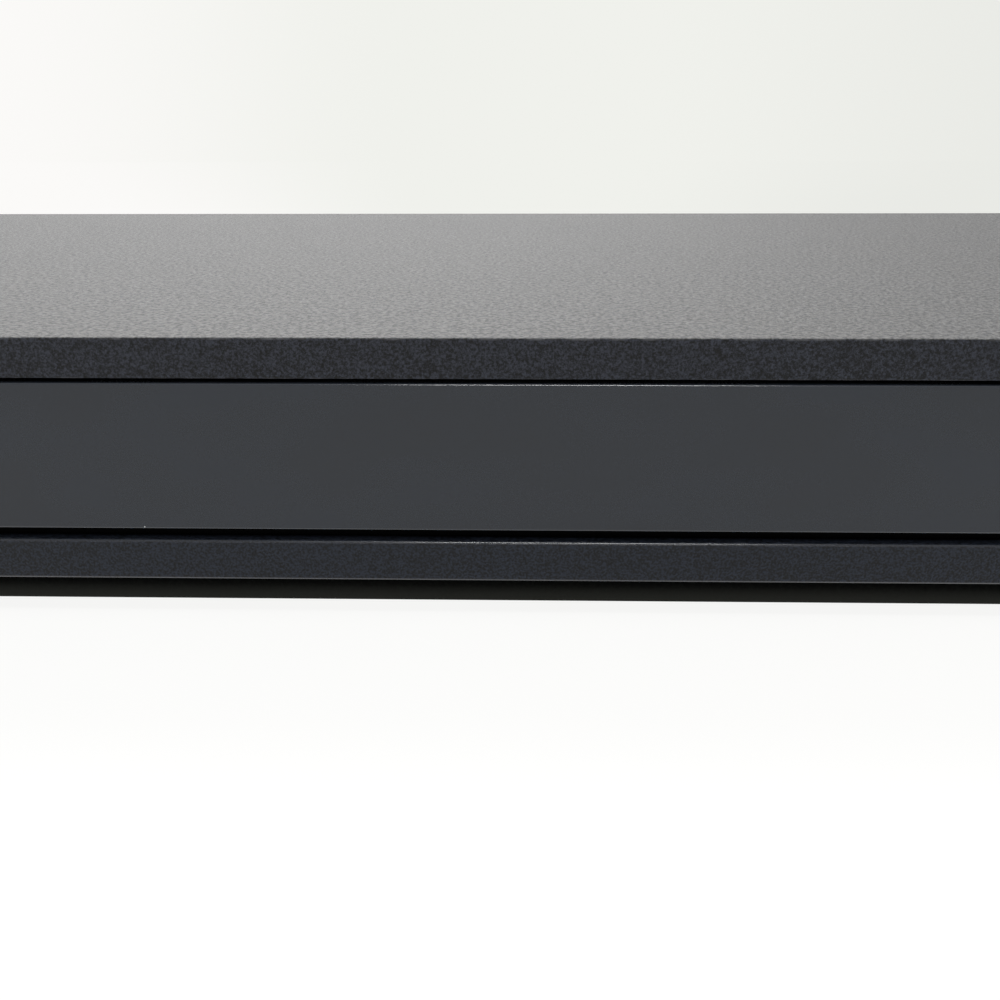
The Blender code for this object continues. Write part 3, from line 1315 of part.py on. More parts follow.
def make_spindle(paints):
    """The spindle motor under the traverse, and the rotor and turntable above it."""
    motor_top = TRAVERSE_BOTTOM - CLEARANCE
    height = SPINDLE_MOTOR_HEIGHT
    bore = SPINDLE_SHAFT_RADIUS + CLEARANCE
    floor = height - SPINDLE_SHAFT_DEPTH - CLEARANCE
    motor = turned(
        "spindle_motor",
        (0, SPINDLE_Y, motor_top - height),
        [
            (0, 0),
            (SPINDLE_MOTOR_RADIUS, 0),
            (SPINDLE_MOTOR_RADIUS, height),
            (bore, height),
            (bore, floor),
            (0, floor),
        ],
    )
    shaft_bottom = motor_top - SPINDLE_SHAFT_DEPTH
    rotor_bottom = TRAVERSE_TOP + CLEARANCE - shaft_bottom
    rotor_top = rotor_bottom + ROTOR_HEIGHT
    shaft_top = TURNTABLE_BOTTOM - CLEARANCE - shaft_bottom
    rotor = turned(
        "spindle_rotor",
        (0, SPINDLE_Y, shaft_bottom),
        [
            (0, 0),
            (SPINDLE_SHAFT_RADIUS, 0),
            (SPINDLE_SHAFT_RADIUS, rotor_bottom),
            (ROTOR_RADIUS, rotor_bottom),
            (ROTOR_RADIUS, rotor_top),
            (SPINDLE_SHAFT_RADIUS, rotor_top),
            (SPINDLE_SHAFT_RADIUS, shaft_top),
            (0, shaft_top),
        ],
    )
    table_top = TURNTABLE_THICKNESS
    table = turned(
        "turntable",
        (0, SPINDLE_Y, TURNTABLE_BOTTOM),
        [
            (0, 0),
            (TURNTABLE_RADIUS, 0),
            (TURNTABLE_RADIUS, table_top),
            (HUB_RADIUS, table_top),
            (HUB_RADIUS, table_top + HUB_RISE),
            (HUB_TOP_RADIUS, table_top + HUB_HEIGHT),
            (0, table_top + HUB_HEIGHT),
        ],
    )
    dress(paints["plated_metal"], motor, rotor)
    dress(paints["black_plastic"], table)
    axis = guide("spindle_axis", (0, SPINDLE_Y, TURNTABLE_BOTTOM), bpy.data.objects["traverse_axis"])
    follow(rotor, axis)
    follow(table, axis)
    follow(motor, bpy.data.objects["traverse_axis"])


def make_pickup(paints):
    """The sled on its two shafts, its lens, and the screw and motor that drive it."""
    low = SHAFT_HEIGHT - SLED_BELOW
    sled = block(
        "pickup_sled",
        (-SLED_HALF_WIDTH, SLED_Y - SLED_AHEAD, low),
        (SLED_HALF_WIDTH, SLED_Y + SLED_BEHIND, LENS_BASE),
    )
    bush_start = SLED_Y - BUSH_LEAD
    bush_end = bush_start + BUSH_LENGTH
    for side in (-1, 1):
        edges = sorted((side * (SLED_HALF_WIDTH - OVERLAP), side * SHAFT_SPACING))
        web = block(
            f"sled_web_{side}",
            (edges[0], bush_start + OVERLAP, SHAFT_HEIGHT - SLED_ARM_HALF),
            (edges[1], bush_end - OVERLAP, SHAFT_HEIGHT + SLED_ARM_HALF),
        )
        bush = rod(
            f"sled_bush_{side}",
            (side * SHAFT_SPACING, bush_start, SHAFT_HEIGHT),
            BUSH_LENGTH,
            BUSH_RADIUS,
            "Y",
            SMALL_SIDES,
        )
        join(sled, web, bush)
    arm = block(
        "sled_arm",
        (SHAFT_SPACING, bush_start + OVERLAP, SHAFT_HEIGHT - SLED_ARM_HALF),
        (SCREW_X - SCREW_RADIUS - CLEARANCE, bush_end - OVERLAP, SHAFT_HEIGHT + SLED_ARM_HALF),
    )
    join(sled, arm)
    for side in (-1, 1):
        spot = (side * SHAFT_SPACING, bush_start - OVERRUN, SHAFT_HEIGHT)
        length = BUSH_LENGTH + OVERRUN + OVERRUN
        cut(sled, rod(f"sled_bore_{side}", spot, length, SHAFT_RADIUS + CLEARANCE, "Y"))
    seat_floor = LENS_BASE - LENS_SEAT_DEPTH
    seat = rod("lens_seat", (0, SLED_Y, seat_floor), LENS_SEAT_DEPTH + OVERRUN, LENS_SEAT_RADIUS)
    cut(sled, seat)
    lens_bottom = seat_floor + LENS_TRAVEL + CLEARANCE
    lens_top = LENS_BASE + LENS_HEIGHT - lens_bottom
    lens = turned(
        "objective_lens",
        (0, SLED_Y, lens_bottom),
        [
            (0, 0),
            (LENS_SKIRT_RADIUS, 0),
            (LENS_SKIRT_RADIUS, LENS_SKIRT_HEIGHT),
            (LENS_RADIUS, LENS_SKIRT_HEIGHT),
            (LENS_RADIUS, lens_top),
            (0, lens_top),
        ],
    )
    front = SPINDLE_Y + SHAFT_FRONT
    traverse = bpy.data.objects["traverse_axis"]
    for name, x in (("guide_shaft_left", -SHAFT_SPACING), ("guide_shaft_right", SHAFT_SPACING)):
        shaft = rod(name, (x, front, SHAFT_HEIGHT), SHAFT_REAR - SHAFT_FRONT, SHAFT_RADIUS, "Y", SMALL_SIDES)
        dress(paints["plated_metal"], shaft)
        follow(shaft, traverse)
    screw_length = SLED_MOTOR_FRONT + SCREW_SEAT - SHAFT_FRONT
    screw = rod("lead_screw", (SCREW_X, front, SHAFT_HEIGHT), screw_length, SCREW_RADIUS, "Y", SMALL_SIDES)
    motor_front = SPINDLE_Y + SLED_MOTOR_FRONT
    motor_spot = (SCREW_X, motor_front, SHAFT_HEIGHT)
    motor = rod("sled_motor", motor_spot, SLED_MOTOR_LENGTH, SLED_MOTOR_RADIUS, "Y")
    bore = rod(
        "sled_motor_bore",
        (SCREW_X, motor_front - OVERRUN, SHAFT_HEIGHT),
        SCREW_SEAT + CLEARANCE + OVERRUN,
        SCREW_RADIUS + CLEARANCE,
        "Y",
        SMALL_SIDES,
    )
    cut(motor, bore)
    dress(paints["plated_metal"], screw, motor)
    dress(paints["inner_plastic"], sled)
    dress(paints["glass"], lens)
    travel = guide("sled_travel", (0, SLED_Y, SHAFT_HEIGHT), traverse)
    follow(sled, travel)
    follow(lens, travel)
    follow(screw, traverse)
    follow(motor, traverse)


def slot_outline(first, second, radius, steps):
    """A slot with round ends between two points."""
    angle = math.atan2(second[1] - first[1], second[0] - first[0])
    quarter = math.pi / 2
    points = arc_points(first, radius, angle + quarter, angle + 3 * quarter, steps)
    points += arc_points(second, radius, angle - quarter, angle + quarter, steps)
    return points


def make_lift_cam(paints):
    """The sliding cam whose slanted slot lowers the traverse."""
    cam = block("lift_cam", (-CAM_HALF_LENGTH, CAM_FRONT, CAM_BOTTOM), (CAM_HALF_LENGTH, CAM_REAR, CAM_TOP))
    raised = (CAM_PIN_X, HINGE_HEIGHT)
    lowered = (CAM_PIN_X - CAM_TRAVEL, HINGE_HEIGHT - CAM_DROP)
    radius = CAM_PIN_RADIUS + CAM_SLOT_PLAY
    outline = slot_outline(raised, lowered, radius, SMALL_SIDES)
    cut(cam, prism("cam_slot", outline, CAM_FRONT - OVERRUN, CAM_REAR + OVERRUN, "Y"))
    dress(paints["white_plastic"], cam)


def make_boards(paints):
    """Both circuit boards, the processor and its heat sink."""
    main = block(
        "main_board",
        (MAIN_BOARD_LEFT, MAIN_BOARD_FRONT, BOARD_BOTTOM),
        (MAIN_BOARD_RIGHT, BOARD_REAR, BOARD_TOP),
    )
    power = block(
        "power_board",
        (POWER_BOARD_LEFT, POWER_BOARD_FRONT, BOARD_BOTTOM),
        (POWER_BOARD_RIGHT, BOARD_REAR, BOARD_TOP),
    )
    dress(paints["board"], main, power)
    chip_bottom = BOARD_TOP + CLEARANCE
    chip_top = chip_bottom + CHIP_THICKNESS
    chip = block(
        "processor",
        (CHIP_X - CHIP_HALF, CHIP_Y - CHIP_HALF, chip_bottom),
        (CHIP_X + CHIP_HALF, CHIP_Y + CHIP_HALF, chip_top),
    )
    dress(paints["black_plastic"], chip)
    sink_bottom = chip_top + CLEARANCE
    base_top = sink_bottom + SINK_BASE
    fin_top = base_top + SINK_FIN_HEIGHT
    pitch = (SINK_HALF + SINK_HALF - SINK_FIN_THICKNESS) / (SINK_FINS - 1)
    outline = [(CHIP_X + SINK_HALF, sink_bottom), (CHIP_X - SINK_HALF, sink_bottom)]
    for index in range(SINK_FINS):
        left = CHIP_X - SINK_HALF + index * pitch
        foot = [(left, base_top)] if index else []
        outline += foot + [(left, fin_top), (left + SINK_FIN_THICKNESS, fin_top)]
        if index < SINK_FINS - 1:
            outline.append((left + SINK_FIN_THICKNESS, base_top))
    sink = prism("heat_sink", outline, CHIP_Y - SINK_HALF, CHIP_Y + SINK_HALF, "Y")
    dress(paints["black_metal"], sink)


def make_power_parts(paints):
    """The transformer, the filter capacitor and the mains inlet."""
    bottom = BOARD_TOP + CLEARANCE
    top = bottom + TRANSFORMER_HEIGHT
    core = block(
        "transformer",
        (TRANSFORMER_X - TRANSFORMER_HALF_X, TRANSFORMER_Y - TRANSFORMER_HALF_Y, bottom),
        (TRANSFORMER_X + TRANSFORMER_HALF_X, TRANSFORMER_Y + TRANSFORMER_HALF_Y, top),
    )
    winding = block(
        "transformer_winding",
        (
            TRANSFORMER_X - TRANSFORMER_HALF_X + WINDING_INSET,
            TRANSFORMER_Y - TRANSFORMER_HALF_Y - WINDING_BULGE,
            bottom + WINDING_INSET,
        ),
        (
            TRANSFORMER_X + TRANSFORMER_HALF_X - WINDING_INSET,
            TRANSFORMER_Y + TRANSFORMER_HALF_Y + WINDING_BULGE,
            top - WINDING_INSET,
        ),
    )
    soften(winding, WINDING_BULGE / 2, 2)
    join(core, winding)
    dress(paints["yellow_tape"], core)
    shoulder = CAPACITOR_RADIUS - EDGE_SOFTENING
    capacitor = turned(
        "filter_capacitor",
        (CAPACITOR_X, CAPACITOR_Y, bottom),
        [
            (0, 0),
            (shoulder, 0),
            (CAPACITOR_RADIUS, EDGE_SOFTENING),
            (CAPACITOR_RADIUS, CAPACITOR_HEIGHT - EDGE_SOFTENING),
            (shoulder, CAPACITOR_HEIGHT),
            (0, CAPACITOR_HEIGHT),
        ],
    )
    dress(paints["capacitor_sleeve"], capacitor)
    front = BACK - INLET_DEPTH
    middle = SOCKET_BOTTOM + INLET_HEIGHT / 2
    inlet = block(
        "mains_inlet",
        (INLET_X - INLET_HALF_WIDTH, front, SOCKET_BOTTOM),
        (INLET_X + INLET_HALF_WIDTH, BACK, SOCKET_BOTTOM + INLET_HEIGHT),
    )
    spread = INLET_PIN_SPACING / 2
    left = (INLET_X - spread, middle)
    right = (INLET_X + spread, middle)
    outline = slot_outline(left, right, INLET_CAVITY_RADIUS, SMALL_SIDES)
    floor = BACK - INLET_CAVITY_DEPTH
    cut(inlet, prism("inlet_cavity", outline, floor, BACK + OVERRUN, "Y"))
    for x, z in (left, right):
        spot = (x, floor - OVERLAP, z)
        pin = rod("inlet_pin", spot, INLET_PIN_LENGTH + OVERLAP, INLET_PIN_RADIUS, "Y", SMALL_SIDES)
        join(inlet, pin)
    dress(paints["black_plastic"], inlet)


def make_socket(name, x, half, height, depth, material):
    """A square metal shell that opens to the rear."""
    shell = block(name, (x - half, BACK - depth, SOCKET_BOTTOM), (x + half, BACK, SOCKET_BOTTOM + height))
    cavity = block(
        f"{name}_cavity",
        (x - half + SOCKET_SHELL, BACK - depth + SOCKET_SHELL, SOCKET_BOTTOM + SOCKET_SHELL),
        (x + half - SOCKET_SHELL, BACK + OVERRUN, SOCKET_BOTTOM + height - SOCKET_SHELL),
    )
    cut(shell, cavity)
    dress(material, shell)
    return shell


def make_sockets(paints):
    """The rear sockets on the main board."""
    for name, x in (("hdmi_socket_1", HDMI_ONE_X), ("hdmi_socket_2", HDMI_TWO_X)):
        shell = make_socket(name, x, HDMI_HALF_WIDTH, HDMI_HEIGHT, HDMI_DEPTH, paints["plated_metal"])
        middle = SOCKET_BOTTOM + HDMI_HEIGHT / 2
        tongue = block(
            f"{name}_tongue",
            (x - HDMI_TONGUE_HALF_WIDTH, BACK - HDMI_DEPTH + SOCKET_SHELL / 2, middle - HDMI_TONGUE / 2),
            (x + HDMI_TONGUE_HALF_WIDTH, BACK - SOCKET_SHELL, middle + HDMI_TONGUE / 2),
        )
        join(shell, tongue)
    make_socket("lan_socket", LAN_X, LAN_HALF_WIDTH, LAN_HEIGHT, LAN_DEPTH, paints["plated_metal"])
    black = paints["black_plastic"]
    make_socket("optical_socket", OPTICAL_X, OPTICAL_HALF_WIDTH, OPTICAL_HEIGHT, OPTICAL_DEPTH, black)


def strip_outline(route, thickness):
    """The outline of a strip of even thickness along a route of points, mitred at its corners."""
    sides = ([], [])
    for index, spot in enumerate(route):
        here = Vector(spot)
        steps = []
        if index > 0:
            steps.append((here - Vector(route[index - 1])).normalized())
        if index < len(route) - 1:
            steps.append((Vector(route[index + 1]) - here).normalized())
        along = sum(steps, Vector((0, 0))).normalized()
        across = Vector((-along.y, along.x))
        reach = thickness / 2 / across.dot(Vector((-steps[0].y, steps[0].x)))
        sides[0].append(tuple(here + across * reach))
        sides[1].append(tuple(here - across * reach))
    return sides[0] + sides[1][::-1]


def make_cables(paints):
    """The flat ribbon to the loader and the power harness across the rear."""
    half = RIBBON_THICKNESS / 2
    board_level = BOARD_TOP + CLEARANCE + half
    floor_level = FLOOR_TOP + CLEARANCE + half
    deck_level = DECK_BOTTOM - CLEARANCE - half
    edge = MAIN_BOARD_LEFT - RIBBON_SLACK
    climb = LOADER_OUTER + RIBBON_SLACK
    route = [
        (MAIN_BOARD_LEFT + RIBBON_BOARD_REACH, board_level),
        (MAIN_BOARD_LEFT - CLEARANCE, board_level),
        (edge, floor_level + RIBBON_SLACK),
        (edge - RIBBON_SLACK / 2, floor_level),
        (climb + RIBBON_SLACK / 2, floor_level),
        (climb, floor_level + RIBBON_SLACK),
        (LOADER_OUTER - CLEARANCE, deck_level),
        (LOADER_OUTER - RIBBON_DECK_REACH, deck_level),
    ]
    outline = strip_outline(route, RIBBON_THICKNESS)
    ribbon = prism("ribbon_cable", outline, RIBBON_Y - RIBBON_WIDTH / 2, RIBBON_Y + RIBBON_WIDTH / 2, "Y")
    dress(paints["ribbon"], ribbon)
    low = FLOOR_TOP + CLEARANCE + HARNESS_RADIUS
    high = BOARD_TOP + CLEARANCE + HARNESS_RADIUS
    start = POWER_BOARD_RIGHT - HARNESS_REACH
    end = MAIN_BOARD_LEFT + HARNESS_REACH
    points = []
    for step in range(HARNESS_POINTS + 1):
        share = step / HARNESS_POINTS
        x = start + (end - start) * share
        from_end = min(x - start, end - x)
        dip = min(max((from_end - HARNESS_REACH) / (HARNESS_REACH + HARNESS_REACH), 0), 1)
        ease = dip * dip * (3 - 2 * dip)
        points.append((x, HARNESS_Y, high + (low - high) * ease))
    harness = tube("power_harness", points, HARNESS_RADIUS)
    dress(paints["wire"], harness)


def make_paints():
    """Every material, with its colour, roughness and metallic value."""
    return {
        "cover": paint("textured_black_steel", (0.035, 0.036, 0.038), 0.5, 0.2),
        "chassis": paint("black_steel", (0.02, 0.021, 0.022), 0.55, 0.3),
        "panel": paint("smooth_dark_plastic", (0.042, 0.044, 0.048), 0.3),
        "sill": paint("grained_dark_plastic", (0.025, 0.026, 0.029), 0.5),
        "inner_plastic": paint("inner_black_plastic", (0.015, 0.015, 0.016), 0.6),
        "black_plastic": paint("black_plastic", (0.02, 0.02, 0.021), 0.45),
        "white_plastic": paint("gear_plastic", (0.75, 0.74, 0.7), 0.4),
        "rubber": paint("rubber", (0.02, 0.02, 0.02), 0.85),
        "plated_metal": paint("plated_steel", (0.62, 0.62, 0.6), 0.35, 1),
        "black_metal": paint("black_aluminium", (0.03, 0.03, 0.032), 0.45, 0.8),
        "board": paint("circuit_board", (0.02, 0.09, 0.04), 0.45),
        "dark_window": paint("infrared_window", (0.01, 0.006, 0.008), 0.1),
        "light_pipe": paint("light_pipe", (0.75, 0.78, 0.8), 0.15),
        "glass": paint("lens_glass", (0.55, 0.6, 0.7), 0.05),
        "yellow_tape": paint("transformer_tape", (0.62, 0.42, 0.04), 0.5),
        "capacitor_sleeve": paint("capacitor_sleeve", (0.02, 0.03, 0.09), 0.35),
        "ribbon": paint("ribbon_cable", (0.7, 0.7, 0.68), 0.4),
        "wire": paint("wire_sleeve", (0.35, 0.02, 0.02), 0.45),
    }


def main():
    """Build the player."""
    clear_scene()
    paints = make_paints()
    guide("traverse_axis", (0, HINGE_Y, HINGE_HEIGHT))
    make_top_cover(paints)
    make_base_chassis(paints)
    make_rear_panel(paints)
    make_front_frame(paints)
    make_front_bars(paints)
    make_usb_door(paints)
    make_usb_socket(paints)
    make_controls(paints)
    make_feet(paints)
    make_disc_tray(paints)
    make_loader_frame(paints)
    make_loading_drive(paints)
    make_clamper(paints)
    make_traverse(paints)
    make_spindle(paints)
    make_pickup(paints)
    make_lift_cam(paints)
    make_boards(paints)
    make_power_parts(paints)
    make_sockets(paints)
    make_cables(paints)


main()
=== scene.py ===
"""Looks of a disc player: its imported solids, dressed and detailed, in a plain pale studio.

Metres, +Z up. The player's front faces -Y, and the origin is on the floor under its middle.
"""

import logging
import math
from dataclasses import dataclass, field
from enum import Enum
from typing import Any, Iterable, Sequence, Union

import bmesh
import bpy
from mathutils import Matrix, Vector


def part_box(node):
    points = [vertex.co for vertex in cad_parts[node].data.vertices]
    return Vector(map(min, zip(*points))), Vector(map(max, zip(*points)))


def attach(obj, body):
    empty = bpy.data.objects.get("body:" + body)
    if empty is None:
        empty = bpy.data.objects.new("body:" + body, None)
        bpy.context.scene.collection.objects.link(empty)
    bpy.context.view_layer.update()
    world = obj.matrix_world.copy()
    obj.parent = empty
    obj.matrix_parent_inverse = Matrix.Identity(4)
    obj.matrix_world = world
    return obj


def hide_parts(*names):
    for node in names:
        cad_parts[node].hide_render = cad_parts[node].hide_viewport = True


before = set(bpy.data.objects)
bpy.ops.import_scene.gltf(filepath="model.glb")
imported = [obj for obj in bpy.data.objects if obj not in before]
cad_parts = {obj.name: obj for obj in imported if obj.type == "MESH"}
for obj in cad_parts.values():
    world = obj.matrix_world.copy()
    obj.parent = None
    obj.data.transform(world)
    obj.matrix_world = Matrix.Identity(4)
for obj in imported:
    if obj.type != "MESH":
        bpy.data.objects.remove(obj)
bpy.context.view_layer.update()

LOG = logging.getLogger("player")

Colour = tuple[float, float, float]
Place = Sequence[float]
Outline = list[tuple[float, float]]
Operand = Union["Signal", float]

OVERRUN = 0.002
QUARTER = math.pi / 2
DUST = (0.55, 0.54, 0.51)


class Signal:
    """A shader socket that can stand in a Python sum."""

    def __init__(self, desk: "ShaderDesk", socket: bpy.types.NodeSocket) -> None:
        """Keep the socket and the desk that adds nodes after it."""
        self.desk = desk
        self.socket = socket

    def __add__(self, other: Operand) -> "Signal":
        """This plus other."""
        return self.desk.sum("ADD", self, other)

    def __radd__(self, other: Operand) -> "Signal":
        """Other plus this."""
        return self.desk.sum("ADD", other, self)

    def __sub__(self, other: Operand) -> "Signal":
        """This minus other."""
        return self.desk.sum("SUBTRACT", self, other)

    def __rsub__(self, other: Operand) -> "Signal":
        """Other minus this."""
        return self.desk.sum("SUBTRACT", other, self)

    def __mul__(self, other: Operand) -> "Signal":
        """This times other."""
        return self.desk.sum("MULTIPLY", self, other)

    def __rmul__(self, other: Operand) -> "Signal":
        """Other times this."""
        return self.desk.sum("MULTIPLY", other, self)

    def __gt__(self, other: Operand) -> "Signal":
        """One where this is above other, else nought."""
        return self.desk.sum("GREATER_THAN", self, other)

    def __lt__(self, other: Operand) -> "Signal":
        """One where this is below other, else nought."""
        return self.desk.sum("LESS_THAN", self, other)


class ShaderDesk:
    """The node tree of one material or world while it is drawn up."""

    def __init__(self, tree: bpy.types.NodeTree) -> None:
        """Start from an empty tree."""
        self.tree = tree
        self.tree.nodes.clear()

    def node(
        self,
        kind: str,
        settings: dict[str, Any] | None = None,
        sockets: dict[Union[str, int], Any] | None = None,
    ) -> bpy.types.Node:
        """Add one node.

        Args:
            kind: the node's type name.
            settings: properties that are set first.
            sockets: input values or signals, by socket name or number.

        Returns:
            The new node.
        """
        made = self.tree.nodes.new(kind)
        for name, value in (settings or {}).items():
            setattr(made, name, value)
        for name, value in (sockets or {}).items():
            if isinstance(value, Signal):
                self.tree.links.new(value.socket, made.inputs[name])
            elif isinstance(value, tuple) and len(made.inputs[name].default_value) == 4:
                made.inputs[name].default_value = (*value, 1)
            else:
                made.inputs[name].default_value = value
        return made

    def out(self, made: bpy.types.Node, name: Union[str, int] = 0) -> Signal:
        """One output of a node, as a signal."""
        return Signal(self, made.outputs[name])

    def sum(self, operation: str, first: Operand, second: Operand) -> Signal:
        """A Math node on two values."""
        return self.out(self.node("ShaderNodeMath", {"operation": operation}, {0: first, 1: second}))

    def spot(self, stretch: Place = (1, 1, 1)) -> Signal:
        """Object places, stretched along each axis."""
        places = self.out(self.node("ShaderNodeTexCoord"), "Object")
        return self.out(self.node("ShaderNodeMapping", {}, {"Vector": places, "Scale": tuple(stretch)}))

    def axis(self, letter: str) -> Signal:
        """One coordinate of the object's places, X, Y or Z."""
        places = self.out(self.node("ShaderNodeTexCoord"), "Object")
        return self.out(self.node("ShaderNodeSeparateXYZ", {}, {0: places}), letter)

    def noise(self, size: float, detail: float = 2, stretch: Place = (1, 1, 1)) -> Signal:
        """Soft noise whose blotches are about size across.

        Args:
            size: blotch size in metres.
            detail: how many finer layers it has.
            stretch: how much it is squeezed along each axis.

        Returns:
            A value from 0 to 1.
        """
        made = self.node(
            "ShaderNodeTexNoise", {}, {"Vector": self.spot(stretch), "Scale": 1 / size, "Detail": detail}
        )
        return self.out(made, 0)

    def cells(self, size: float, output: str = "Distance") -> Signal:
        """Voronoi cells about size across: the distance to each centre, or a colour a cell."""
        made = self.node("ShaderNodeTexVoronoi", {}, {"Vector": self.spot(), "Scale": 1 / size})
        return self.out(made, output)

    def span(self, value: Signal, low: float, high: float, start: float = 0, end: float = 1) -> Signal:
        """Carry a value from one range to another, held at both ends.

        Args:
            value: the value to carry over.
            low: where the old range starts.
            high: where the old range ends.
            start: what low becomes.
            end: what high becomes.

        Returns:
            The value in its new range.
        """
        made = self.node(
            "ShaderNodeMapRange",
            {"interpolation_type": "SMOOTHSTEP"},
            {"Value": value, "From Min": low, "From Max": high, "To Min": start, "To Max": end},
        )
        return self.out(made, 0)

    def blend(self, share: Operand, first: Union[Signal, Colour], second: Union[Signal, Colour]) -> Signal:
        """Mix two colours by a share."""
        made = self.node("ShaderNodeMix", {"data_type": "RGBA"}, {0: share, 6: first, 7: second})
        return self.out(made, 2)

    def bump(self, height: Signal, depth: float) -> Signal:
        """Relief from a height that runs from 0 to 1, its depth in metres."""
        return self.out(self.node("ShaderNodeBump", {}, {"Height": height, "Distance": depth}))

    def upward(self) -> Signal:
        """One on faces that look up, falling to nought on upright ones."""
        normal = self.out(self.node("ShaderNodeNewGeometry"), "Normal")
        return self.span(self.out(self.node("ShaderNodeSeparateXYZ", {}, {0: normal}), "Z"), 0.5, 0.98)

    def worn_edge(self) -> Signal:
        """One along the rounded edges that a piece marks, else nought."""
        return self.out(self.node("ShaderNodeAttribute", {"attribute_name": "worn_edge"}), "Fac")

    def close(self, **sockets: Any) -> None:
        """End the tree with a Principled shader.

        Args:
            sockets: its inputs, with underscores for spaces.
        """
        named = {name.replace("_", " "): value for name, value in sockets.items()}
        shader = self.node("ShaderNodeBsdfPrincipled", {}, named)
        self.node("ShaderNodeOutputMaterial", {}, {"Surface": self.out(shader)})


@dataclass(frozen=True)
class Finish:
    """What every finish shares: it makes its material once."""

    name: str
    colour: Colour

    def material(self) -> bpy.types.Material:
        """The finish's material, made the first time that it is asked for."""
        found = bpy.data.materials.get(self.name)
        if found:
            return found
        made = bpy.data.materials.new(self.name)
        made.use_nodes = True
        self.draw(ShaderDesk(made.node_tree))
        return made

    def draw(self, desk: ShaderDesk) -> None:
        """Draw the finish's nodes."""
        raise NotImplementedError(self.name)


@dataclass(frozen=True)
class TexturedPaint(Finish):
    """Baked black paint with an orange-peel grain, a film of dust on top and rubbed edges, with painted light and shade
    mixed into its colour.
    """

    grain: float = 0.0006
    depth: float = 0.00005
    roughness: float = 0.5
    specular: float = 0.5
    dust: float = 0.03
    sheen: float = 0.0
    # Colour of rubbed edges: real wear, and where it is set light, a painted highlight.
    worn_and_lit_edge_colour: Colour = (0.09, 0.09, 0.095)
    # Painted floor light near the foot: its colour, and the heights over which it fades into the paint.
    painted_floor_light: Colour = (0.0, 0.0, 0.0)
    painted_floor_light_reach: tuple[float, float] = (0.0, 0.0)

    def draw(self, desk: ShaderDesk) -> None:
        """Draw lumps, grain with painted shade in its pits and painted light on its peaks, fine pits, clouding, a
        painted floor light at the foot, dust that also paints the top lighter, and edge wear that also paints edge
        highlights.
        """
        grain = desk.noise(self.grain, 2.5)
        pits = desk.noise(self.grain / 3, 1)
        lumps = desk.noise(self.grain * 2.3, 1)
        clouds = desk.noise(0.045, 3)
        # Dust on upward faces: partly real dust, partly painted light, which lightens the top in place of its sheen at
        # low angles.
        dust = desk.upward() * desk.span(lumps * 0.6 + grain * 0.4, 0.38, 0.62, 0.35, 1.15) * (self.dust * 1.33)
        worn_and_lit_edge_share = desk.worn_edge() * desk.span(desk.noise(0.004, 3), 0.45, 0.7)
        # Painted shade and light in the grain: the tone follows the same noise as the relief, so pits are painted dark
        # and raised grain painted light, besides the grain's own uneven tone.
        darker = tuple(value * 0.05 for value in self.colour)
        lighter = tuple(value * 2.3 for value in self.colour)
        tone = desk.blend(desk.span(grain * 0.5 + pits * 0.45 + clouds * 0.05, 0.41, 0.63), darker, lighter)
        # Painted light and shade: lighter below the given height, as if lit by the floor, and darker above it, as
        # painted shade under the sill.
        if any(self.painted_floor_light):
            tone = desk.blend(1 - desk.span(desk.axis("Z"), *self.painted_floor_light_reach), tone, self.painted_floor_light)
        tone = desk.blend(dust, tone, DUST)
        # Rubbed edges, lighter: real wear, and on the chassis also a painted highlight where its lower bend catches the
        # floor's light.
        tone = desk.blend(worn_and_lit_edge_share * 0.5, tone, self.worn_and_lit_edge_colour)
        relief = desk.bump(grain * 0.4 + pits * 0.15 + lumps * 0.45, self.depth)
        shine = desk.span(clouds * 0.15 + pits * 0.85, 0.3, 0.7, self.roughness - 0.05, self.roughness + 0.06)
        desk.close(
            Base_Color=tone,
            Roughness=shine,
            Normal=relief,
            Specular_IOR_Level=self.specular,
            Sheen_Weight=self.sheen,
            Sheen_Roughness=0.35,
        )


@dataclass(frozen=True)
class MouldedPlastic(Finish):
    """Moulded plastic: grain, faint flow clouding, sparse specks of dust and polished edges."""

    grain: float = 0.0003
    depth: float = 0.00001
    roughness: float = 0.4
    specular: float = 0.5
    specks: float = 0.0
    dust: float = 0.02
    spread: float = 0.15
    fleck: float = 0.4

    def draw(self, desk: ShaderDesk) -> None:
        """Draw grain, flow, specks and edges."""
        grain = desk.noise(self.grain, 2)
        flow = desk.noise(0.03, 2, (1, 1, 2.2))
        lighter = tuple(value * (1 + self.spread) for value in self.colour)
        darker = tuple(value * (1 - self.spread) for value in self.colour)
        tone = desk.blend(desk.span(flow * (1 - self.fleck) + grain * self.fleck, 0.35, 0.65), darker, lighter)
        tone = desk.blend(desk.upward() * self.dust, tone, DUST)
        if self.specks:
            near = desk.cells(0.006) < 0.028
            chosen = desk.noise(0.013, 0) > 0.56
            tone = desk.blend(near * chosen * self.specks, tone, (0.6, 0.62, 0.62))
        tone = desk.blend(desk.worn_edge() * 0.25, tone, tuple(value * 1.8 for value in self.colour))
        shine = desk.span(flow * 0.7 + grain * 0.3, 0.3, 0.7, self.roughness - 0.03, self.roughness + 0.05)
        shine = shine * (1 - desk.worn_edge() * 0.45)
        relief = desk.bump(grain * (1 - desk.worn_edge()), self.depth)
        desk.close(
            Base_Color=tone,
            Roughness=shine,
            Normal=relief,
            Specular_IOR_Level=self.specular,
            Coat_Weight=desk.worn_edge() * 0.8,
            Coat_Roughness=0.15,
        )


